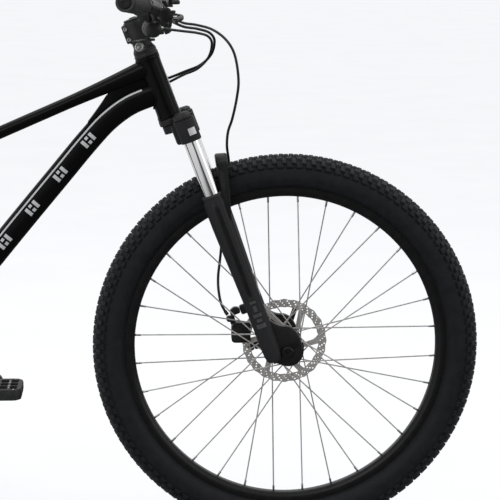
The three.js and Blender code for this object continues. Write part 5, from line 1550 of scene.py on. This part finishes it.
def stays():
    for side, label in ((-1, "right"), (1, "left")):
        low = Route([CRANK_AXLE + Vector((-19, side * 27, 1)), (-186, side * 34, 317), (-228, side * 43.5, 321),
                     (-280, side * 50, 327), (-400, side * 58, 341), (-540, side * 72, 356.5)])
        shape = sweep(low, lambda t: (6.5, 11.5 - 3.5 * t), 90, 28, Y, dome=3)
        shape.add(dropout(side))
        piece("chainstay_" + label + "_tube", shape, PAINT, "frame", "chainstay_" + label)
        high = Route([(-243, side * 13, 631), (-262, side * 26, 618), (-292, side * 45, 595),
                      (-330, side * 51, 565), (-450, side * 62, 471), (-553, side * 72.5, 388.5)])
        shape = sweep(high, lambda t: (6.3, 8 - 0.8 * t), 80, 28, Y, dome=3)
        piece("seatstay_" + label + "_tube", shape, PAINT, "frame", "seatstay_" + label)
    bridge = between((-306, -43, 577), (-306, 43, 577), 5, 24, 0)
    bridge.add(between((-210, -38, 318.5), (-210, 38, 318.5), 5.4, 24, 0))
    piece("stay_bridges", bridge, PAINT, "frame")


def dropout(side):
    points = [(-532, 350), (-536, 366), *quad((-536, 366), (-550, 376), (-552, 396)), (-566, 396),
              *quad((-566, 396), (-596, 384), (-593, 358))]
    if side < 0:
        points += [(-586, 324), *quad((-586, 324), (-576, 312), (-566, 324)), (-562, 338)]
    else:
        points += quad((-593, 358), (-588, 336), (-562, 338))
    low, high = sorted((side * REAR_HUB_HALF, side * (REAR_HUB_HALF + 6)))
    holes = [circle(REAR_AXLE.x, REAR_AXLE.z, 5.2, 24), circle(-560, 380, 5.5, 20)]
    return plate([points, *holes], low, high, 0.9)


def seat_collar():
    middle, pin = 367.5, 27.3
    shape = lathe(rounded([(17.9, 356), (21.6, 356), (22, 358), (22, 377), (21.6, 379), (17.9, 379)], 0.6), 64)
    for side in SIDES:
        y0, y1 = sorted((side * 1.6, side * 12.8))
        shape.add(block(-33.5, -19.5, y0, y1, middle - 7.5, middle + 7.5, 2))
    shape.add(rod(3.9, -19, 19, 24, 0.8), move(-27, 0, middle) @ ABOUT_Y, paint=1)
    piece("seat_clamp", shape.at(SEAT), [SATIN, STEEL], "frame", "seat_collar")
    lever = rod(8, middle - 8, middle + 8, 32, 1).at(move(-27, pin, 0))
    run = Route([(-27, pin, middle), (-10, 34, middle - 2), (12, 35, middle - 5), (30, 32, middle - 8)])
    lever.add(sweep(run, lambda t: (2.6 - 0.5 * t, 6 - 2 * t), 24, 20, Y, 2.6, 1.4))
    piece("seat_clamp_lever", lever.at(SEAT), SATIN, "collar_lever", "seat_collar_lever")


head_tube()
top_tube()
down_tube()
bottom_bracket()
seat_tube()
stays()
seat_collar()


# ------------------------------------------------------------------ seatpost and saddle
RAILS = [(-430, -34, 929.5), (-404, -30, 923), (-372, -22, RAIL_Z), (-320, -22, RAIL_Z), (-275, -22, RAIL_Z),
         (-240, -17, 921), (-222, -8, 926), (-217, 0, 926.5)]
SADDLE_BACK = Vector((-455, 0, 948))
SADDLE_FRONT = Vector((-185, 0, 944))
SADDLE_WIDTHS = (                 # place along the saddle, half width
    (0, 30), (0.04, 50), (0.14, 70), (0.28, 66), (0.44, 43.5), (0.6, 26), (0.8, 20), (0.95, 17), (1, 9),
)


def read(table, t):
    """A smooth value from (place, value) pairs."""
    for (t0, v0), (t1, v1) in zip(table, table[1:]):
        if t <= t1:
            s = (t - t0) / (t1 - t0)
            return v0 + (v1 - v0) * s * s * (3 - 2 * s)
    return table[-1][1]


def seatpost():
    top = on_seat(SEATPOST_TOP)
    outline = [(0, 262, 0), (SEATPOST, 262), (SEATPOST, 600), (11.4, SEATPOST_TOP), (0, SEATPOST_TOP)]
    shape = turned(outline, 1.5, 64).at(SEAT)
    cradle = move(top.x, 0, RAIL_Z) @ ABOUT_Y
    shape.add(rod(12.6, -29, 29, 40, 1.6).at(cradle))
    for z in (7.2, -7.2):
        shape.add(block(-17, 17, -27, 27, z - 3.4, z + 3.4, 2), move(top.x, 0, RAIL_Z))
    shape.add(bolt(4.6, 4), facing((top.x, 0, RAIL_Z + 10.4), Z), paint=1)
    for side in SIDES:
        shape.add(bolt(4.6, 3), facing((top.x + 13, side * 18, RAIL_Z - 10.6), -Z), paint=1)
    for k in range(9):
        z = 400 + 10 * k
        half = 0.4 if k % 5 == 0 else 0.2
        shape.add(patch(lambda h: SEATPOST, z, z + 0.8, PI - half, PI + half, 0.15, rows=1), SEAT, paint=2)
    piece("seatpost_tube", shape, [SATIN, STEEL, SILVER_LINE], "seat", "seatpost")


def saddle_rails():
    points = RAILS + [(x, -y, z) for x, y, z in RAILS[-2::-1]]
    shape = sweep(Route(points), steady(3.5), 160, 16, dome=1.5)
    piece("saddle_rail_loop", shape, STEEL, "seat", "saddle_rails")


def saddle_section(t, inset=0.0, low=-12.6, high=13.4, sides=44):
    """A ring of the saddle: a domed top with a groove along its middle, and a flatter underside."""
    wide = read(SADDLE_WIDTHS, t) - inset
    centre = SADDLE_BACK.lerp(SADDLE_FRONT, t)
    taper = min(1, 0.45 + t * 12, 0.42 + (1 - t) * 14)
    groove = 2.6 * math.exp(-((t - 0.42) / 0.3) ** 4)
    ring = []
    for k in range(sides):
        turn = 2 * PI * k / sides
        c, s = math.cos(turn), math.sin(turn)
        y = wide * math.copysign(abs(c) ** 0.9, c)
        if s >= 0:
            z = (high - inset * 0.6) * s ** 0.72
            z -= groove * math.exp(-(y / 7.5) ** 2)
            z += 2.0 * math.sin(PI * min(t, 0.3) / 0.3) * abs(c) * s if t < 0.3 else 0
        else:
            z = (low + inset * 0.5) * abs(s) ** 0.8
        ring.append(centre + Vector((0, y, z * taper)))
    return ring


def saddle():
    """The padded cover, blown up by a short cloth run, its piping and the moulded base under it."""
    steps = 44
    ts = [i / steps for i in range(steps + 1)]
    pad = lofted([saddle_section(t, 2.2, -2) for t in ts])
    cover = piece("saddle_cover", pad, LEATHER, "seat", "saddle", smooth=180)
    inflate(cover, 5 * MM, 1.9 * MM)
    base = lofted([[Vector((p.x, p.y, p.z - 1.0)) for p in saddle_section(t, 3.4, -12, 1.4, 32)] for t in ts])
    piece("saddle_base", base, NYLON, "seat")
    edge = [saddle_section(t, 1.4)[0] - Z * 1.2 for t in ts[1:-1]]
    loop = edge + [Vector((p.x, -p.y, p.z)) for p in reversed(edge)]
    seams = sweep(Route(loop + loop[:1], 6), steady(1.5), 300, 10)
    for side in SIDES:
        line = []
        for k in range(26):
            t = 0.10 + 0.84 * k / 25
            ring = saddle_section(t, 1.0)
            index = 4 if side > 0 else len(ring) // 2 - 4
            line.append(ring[index] + Z * 0.2)
        seams.add(sweep(Route(line, 6), steady(0.7), 160, 8), paint=1)
    piece("saddle_piping", seams, [GLOSS_NYLON, GRIP_RUBBER], "seat")


SWELL_FRAMES = 14


def inflate(obj, voxel, limit):
    """Swells a closed pad by a short cloth run, with no point moving further than the limit."""
    remesh = obj.modifiers.new("even", "REMESH")
    remesh.mode = "VOXEL"
    remesh.voxel_size = voxel
    settle(obj)
    start = np.array([v.co for v in obj.data.vertices])
    cloth = obj.modifiers.new("swell", "CLOTH")
    cloth.settings.use_pressure = True
    cloth.settings.uniform_pressure_force = 4
    cloth.settings.effector_weights.gravity = 0
    for number in range(1, SWELL_FRAMES + 1):
        bpy.context.scene.frame_set(number)
    settle(obj)
    bpy.context.scene.frame_set(1)
    moved = np.array([v.co for v in obj.data.vertices]) - start
    far = np.linalg.norm(moved, axis=1, keepdims=True)
    held = start + moved * np.minimum(1, limit / np.maximum(far, 1e-9))
    obj.data.vertices.foreach_set("co", held.ravel())
    finer = obj.modifiers.new("finer", "SUBSURF")
    finer.levels = finer.render_levels = 1
    settle(obj)
    obj.data.polygons.foreach_set("use_smooth", [True] * len(obj.data.polygons))


def settle(obj):
    """Bakes the object's modifiers into its mesh."""
    graph = bpy.context.evaluated_depsgraph_get()
    mesh = bpy.data.meshes.new_from_object(obj.evaluated_get(graph))
    old = obj.data
    obj.modifiers.clear()
    obj.data = mesh
    if not mesh.materials:
        mesh.materials.append(LEATHER)
    bpy.data.meshes.remove(old)


seatpost()
saddle_rails()
saddle()

# ------------------------------------------------------------------ drivetrain
def pitch_radius(teeth):
    return teeth * CHAIN_PITCH / (2 * PI)


def toothed(teeth, y0, y1, holes=(), height=3.6, start=0.0):
    """A sprocket about Y at the origin; its tooth tips stay between the chain's side plates."""
    pitch = pitch_radius(teeth)
    root, tip = pitch - 3.7, pitch + height
    step = 2 * PI / teeth
    edge = []
    for k in range(teeth):
        middle = start + k * step
        for share, radius in ((-0.5, root), (-0.33, root + 0.4), (-0.22, pitch - 0.6), (-0.1, tip - 0.6),
                              (0, tip), (0.1, tip - 0.6), (0.22, pitch - 0.6), (0.33, root + 0.4)):
            turn = middle + share * step
            edge.append((radius * math.cos(turn), radius * math.sin(turn)))
    return plate([edge, *holes], y0, y1, 0.25)


def slots(count, inner, outer, share, lean=0.0, sides=6):
    """Windows between the arms of a wheel."""
    holes = []
    step = 2 * PI / count
    for k in range(count):
        middle = k * step
        half = step * share / 2
        far = circle(0, 0, outer, sides, middle + lean - half, middle + lean + half)
        near = circle(0, 0, inner, sides, middle + half * 0.8, middle - half * 0.8)
        holes.append(rounded(far + near, 2, 1))
    return holes


def crank_arm(side):
    reach = -side * CRANK_LENGTH
    middle = side * 72
    run = Route([(0, middle, 0), (reach * 0.5, middle + side * 0.5, 0), (reach, middle + side, 0)])
    waist = lambda t: math.sin(PI * t)
    shape = sweep(run, lambda t: (7.9 - 0.6 * waist(t), 14.8 - 3.8 * t - 1.2 * waist(t)), 40, 32, Y, 3)
    low, high = sorted((side * 65, side * 80))
    shape.add(rod(14.4, low, high, 40, 1.6), move(reach, 0, 0) @ ABOUT_Y)
    shape.add(bolt(8, 2.2), facing((reach, side * 79, 0), Y * side), paint=1)
    return shape


def cranks():
    about = Matrix.Translation(CRANK_AXLE)
    pitch = pitch_radius(RING_TEETH)
    holes = slots(4, 33, pitch - 12, 0.62) + [circle(0, 0, 24, 32)]
    ring = toothed(RING_TEETH, -CHAIN_LINE - 1.0, -CHAIN_LINE + 1.0, holes, start=PI / RING_TEETH)
    right = Shape().add(ring, paint=1)
    right.add(sleeve(20, 28, -56, -CHAIN_LINE - 0.8, 48, 1), ABOUT_Y)
    for k in range(4):
        turn = PI / 4 + k * PI / 2
        out = lambda radius, y: Vector((radius * math.cos(turn), y, radius * math.sin(turn)))
        arm = Route([out(14, -55), out(34, -54.6), out(50, -54)])
        right.add(sweep(arm, lambda t: (2.6 - 0.6 * t, 8.5 - 2.5 * t), 16, 24, Y, 3, 1.5))
        right.add(bolt(4.4, 2), facing(out(47, -55.6), -Y), paint=2)
    right.add(rod(18.6, -79.6, -44.6, 48, 2), ABOUT_Y)
    right.add(crank_arm(-1))
    right.add(bolt(10, 1.6), facing((0, -79, 0), -Y), paint=2)
    piece("crankset_right", right.at(about), [SATIN, COG_STEEL, STEEL], "crankset", "crank_right")
    left = rod(11.8, -44, 60, 40, 1).at(ABOUT_Y)
    left.add(rod(18.6, 44.6, 79.6, 48, 2), ABOUT_Y)
    left.add(crank_arm(1))
    left.add(bolt(10, 1.6), facing((0, 79, 0), Y), paint=1)
    piece("crank_left_arm", left.at(about), [SATIN, STEEL], "crankset", "crank_left")


def pedal(side, label, body):
    """A moulded nylon platform with rows of windows, studs and its axle."""
    about = move(CRANK_AXLE.x - side * CRANK_LENGTH, side * PEDAL_Y, CRANK_AXLE.z)
    turned_up = Matrix.Rotation(PI / 2, 4, "X")
    a, b, thick = 53.6, 47.6, 9.9
    edge = rounded([(-a + 9, -b), (a - 9, -b), (a, -b + 12), (a, b - 12), (a - 9, b), (-a + 9, b),
                    (-a, b - 12), (-a, -b + 12)], 5, 3)
    windows = []
    for end in SIDES:
        for y0, y1 in ((-37, -14), (-9.5, 9.5), (14, 37)):
            for near, far in ((15, 28.5), (33, 46)):
                x0, x1 = sorted((end * near, end * far))
                windows.append(rounded([(x0, y0), (x1, y0), (x1, y1), (x0, y1)], 3, 2))
    shape = plate([edge, *windows], -thick, thick, 1.2).at(turned_up)
    for end in SIDES:
        for y in (-42, -25, -11.8, 11.8, 25, 42):
            for up in SIDES:
                x = end * (30.8 if abs(y) < 30 else 40)
                stud = turned([(0, -0.5, 0), (2.1, -0.5), (1.9, 0.09), (0, 0.09, 0)], 0.1, 10)
                shape.add(stud, facing((x, y, up * 9.85), Z * up), paint=1)
        for y in (-30, -10, 10, 30):
            x0, x1 = sorted((end * 52.6, end * 53.9))
            shape.add(block(x0, x1, y - 7, y + 7, -6.5, 6.5, 0.6))
    near, far = sorted((-side * 10, -side * (PEDAL_Y - 81.3)))
    shape.add(rod(6.9, near, far, 32, 0.8), ABOUT_Y, paint=2)
    flats = lathe([(0, -side * 52), (8, -side * 52), (8, -side * 57.5), (0, -side * 57.5)], 6)
    shape.add(flats, ABOUT_Y, paint=2)
    piece("pedal_" + label + "_platform", shape.at(about), [NYLON, STEEL, STEEL], body, "pedal_" + label)


def cassette():
    shape = Shape()
    for i, teeth in enumerate(COGS):
        y = -30 - 4 * i
        pitch = pitch_radius(teeth)
        holes = [circle(0, 0, 17.5 if teeth > 13 else 11, 32)]
        if teeth > 20:
            holes += slots(6, 22, pitch - 11, 0.66, 0.25)
        shape.add(toothed(teeth, y - 0.85, y + 0.85, holes, height=3.2, start=0.13 * i))
    for i in range(len(COGS) - 1):
        y = -32 - 4 * i
        inner, outer = (16.5, 19) if COGS[i] > 15 else (11, 17)
        shape.add(sleeve(inner, outer, y - 1.1, y + 1.1, 40, 0.3), ABOUT_Y, paint=1)
    shape.add(sleeve(9.6, 15.4, -64, -62.2, 40, 0.5), ABOUT_Y, paint=1)
    for k in range(18):
        place = Matrix.Rotation(2 * PI * k / 18, 4, "Y") @ move(0, -64.1, 0)
        shape.add(block(10.6, 15, -0.8, 0.8, -0.6, 0.6, 0.2), place, paint=1)
    piece("cassette_cogs", shape.at(Matrix.Translation(REAR_AXLE)), [COG_STEEL, SATIN], "cogs", "cassette")


CAGE_PULL = Vector((-0.3, 0, -0.954))
HELD_ABOVE, LED_BELOW = -131, -20            # measured along CAGE_PULL


def chain_line(wheels):
    """The closed line of the chain's pins: straight runs and arcs round each wheel."""
    count = len(wheels)
    legs = []
    for i, (x0, z0, r0, turn0) in enumerate(wheels):
        x1, z1, r1, turn1 = wheels[(i + 1) % count]
        dx, dz = x1 - x0, z1 - z0
        heading = math.atan2(dz, dx) - math.asin((turn1 * r1 - turn0 * r0) / math.hypot(dx, dz))
        nx, nz = -math.sin(heading), math.cos(heading)
        legs.append(((x0 - nx * turn0 * r0, z0 - nz * turn0 * r0),
                     (x1 - nx * turn1 * r1, z1 - nz * turn1 * r1)))
    points = []
    for i, (x, z, r, turn) in enumerate(wheels):
        arrive, leave = legs[i - 1][1], legs[i][0]
        start = math.atan2(arrive[1] - z, arrive[0] - x)
        sweep_by = turn * ((turn * (math.atan2(leave[1] - z, leave[0] - x) - start)) % (2 * PI))
        steps = max(3, round(abs(sweep_by) / (4 * DEG)))
        turns = [start + sweep_by * k / steps for k in range(steps + 1)]
        points += [(x + r * math.cos(a), z + r * math.sin(a)) for a in turns]
    return points


def chain():
    """Links and pins round the ring, a cog and both jockey wheels; the ends of the lower run are worked out on
    the cage's slanted line, but the links do not follow the swinging cage.
    """
    wheel_at = lambda centre, teeth, turn: (centre.x, centre.z, pitch_radius(teeth), turn)
    line = chain_line([wheel_at(CRANK_AXLE, RING_TEETH, 1), wheel_at(REAR_AXLE, COGS[CHAIN_COG], 1),
                       wheel_at(GUIDE, PULLEY_TEETH, -1), wheel_at(TENSION, PULLEY_TEETH, 1)])
    line.append(line[0])
    marks = [0.0]
    for (x0, z0), (x1, z1) in zip(line, line[1:]):
        marks.append(marks[-1] + math.hypot(x1 - x0, z1 - z0))
    count = 2 * round(marks[-1] / CHAIN_PITCH / 2)
    stops = [marks[-1] * k / count for k in range(count)]
    xs, zs = np.interp(stops, marks, [p[0] for p in line]), np.interp(stops, marks, [p[1] for p in line])
    pins = [Vector((x, -CHAIN_LINE, z)) for x, z in zip(xs, zs)]
    shape = Shape()
    for k, pin in enumerate(pins):
        run = pins[(k + 1) % count] - pin
        lean = Matrix.Translation(pin) @ Matrix.Rotation(-math.atan2(run.z, run.x), 4, "Y")
        link = link_plate(run.length)
        for side in SIDES:
            y = side * (1.75 if k % 2 else 2.45)
            shape.add(link, lean @ move(0, y, 0))
        shape.add(rod(2.15, -1.3, 1.3, 10, 0.2), Matrix.Translation(pin) @ ABOUT_Y, paint=1)
        shape.add(rod(1.05, -2.7, 2.7, 8, 0.15), Matrix.Translation(pin) @ ABOUT_Y, paint=1)
    top, low = (GUIDE + CAGE_PULL * (depth - GUIDE.dot(CAGE_PULL)) for depth in (HELD_ABOVE, LED_BELOW))
    piece("chain_links", shape, [CHAIN_STEEL, STEEL], ("frame", "mech_cage", top, low), "chain")


def link_plate(length):
    """One side plate of a chain link, waisted between its two round ends, 0.65 mm thick."""
    half = 0.32
    edge = circle(0, 0, 3.3, 9, PI * 0.68, PI * 1.32) + [(length / 2, -2.3)]
    edge += circle(length, 0, 3.3, 9, -PI * 0.32, PI * 0.32) + [(length / 2, 2.3)]
    count = len(edge)
    points = [(x, side * half, z) for side in SIDES for x, z in edge]
    faces = [tuple(range(count)), tuple(reversed(range(count, 2 * count)))]
    for k in range(count):
        n = (k + 1) % count
        faces.append((k, n, n + count, k + count))
    return Shape(points, faces)


def derailleur():
    hanger = Vector((REAR_AXLE.x - 1, 0, 324))
    shape = rod(10.8, -95, -77, 36, 1.8).at(Matrix.Translation(hanger) @ ABOUT_Y)
    shape.add(bolt(6, 2), facing(hanger - Y * 94.6, -Y), paint=1)
    start, stop = Vector((-578, -87, 320)), Vector((GUIDE.x, -74, GUIDE.z))
    for shift in (-3.8, 3.8):
        across = Vector((0, shift, 0))
        run = Route([start + across * 0.8, start.lerp(stop, 0.5) + across, stop + across * 0.8])
        shape.add(sweep(run, lambda t: (3.0, 8.8), 20, 24, Y, 3, 1.5))
    for at in (start, stop):
        shape.add(between(at - Y * 8.5, at + Y * 8.5, 4.2, 20, 0.8), paint=1)
    shape.add(rod(12.3, -84, -58.3, 40, 1.8), move(GUIDE.x, 0, GUIDE.z) @ ABOUT_Y)
    shape.add(block(-592, -581, -91, -80, 300, 314, 2.5))
    piece("derailleur_arm", shape, [SATIN, STEEL], "frame", "derailleur_body")
    cage = Shape()
    down = math.atan2(TENSION.z - GUIDE.z, TENSION.x - GUIDE.x)
    for y0, y1 in ((-46.4, -44.9), (-57.6, -56.1)):
        edge = circle(GUIDE.x, GUIDE.z, 10.8, 16, down + PI / 2, down + 3 * PI / 2)
        edge += circle(TENSION.x, TENSION.z, 9.8, 16, down - PI / 2, down + PI / 2)
        middle = GUIDE.lerp(TENSION, 0.5)
        ahead = Vector((math.cos(down), math.sin(down)))
        slot = rounded([(middle.x + ahead.x * u - ahead.y * v, middle.z + ahead.y * u + ahead.x * v)
                        for u, v in ((-14, -4.5), (14, -4.5), (14, 4.5), (-14, 4.5))], 4, 3)
        cage.add(plate([edge, slot], y0, y1, 0.3))
    for centre in (GUIDE, TENSION):
        cage.add(rod(2.9, -57, -45.4, 16, 0.3), move(centre.x, 0, centre.z) @ ABOUT_Y, paint=1)
        cage.add(bolt(4, 1.4), facing((centre.x, -57.4, centre.z), -Y), paint=1)
    piece("derailleur_cage_plates", cage, [SATIN, STEEL], "mech_cage", "derailleur_cage")
    for name, centre, body in (("upper", GUIDE, "jockey_upper"), ("lower", TENSION, "jockey_lower")):
        holes = slots(5, 8.2, 15, 0.5, sides=3) + [circle(0, 0, 3.6, 20)]
        wheel_shape = toothed(PULLEY_TEETH, -1.1, 1.1, holes, height=2.6, start=0.2)
        wheel_shape.add(sleeve(3.5, 6.6, -1.9, 1.9, 28, 0.4), ABOUT_Y, paint=1)
        piece(name + "_jockey", wheel_shape.at(Matrix.Translation(centre)), [NYLON, STEEL], body,
              name + "_jockey_wheel")


def rear_caliper():
    place = move(-505, 0, 397) @ Matrix.Rotation(35 * DEG, 4, "Y")
    shape = caliper(48, 27, 43, 60.5).at(place)
    shape.add(rod(4.6, -4, 10, 16, 0.8), move(-481, 56, 383) @ Matrix.Rotation(1.1, 4, "Y"), paint=1)
    piece("rear_brake_caliper", shape, [SATIN_DARK, ALLOY], "frame", "rear_caliper")


cranks()
pedal(-1, "right", "pedal_r")
pedal(1, "left", "pedal_l")
cassette()
chain()
derailleur()
rear_caliper()
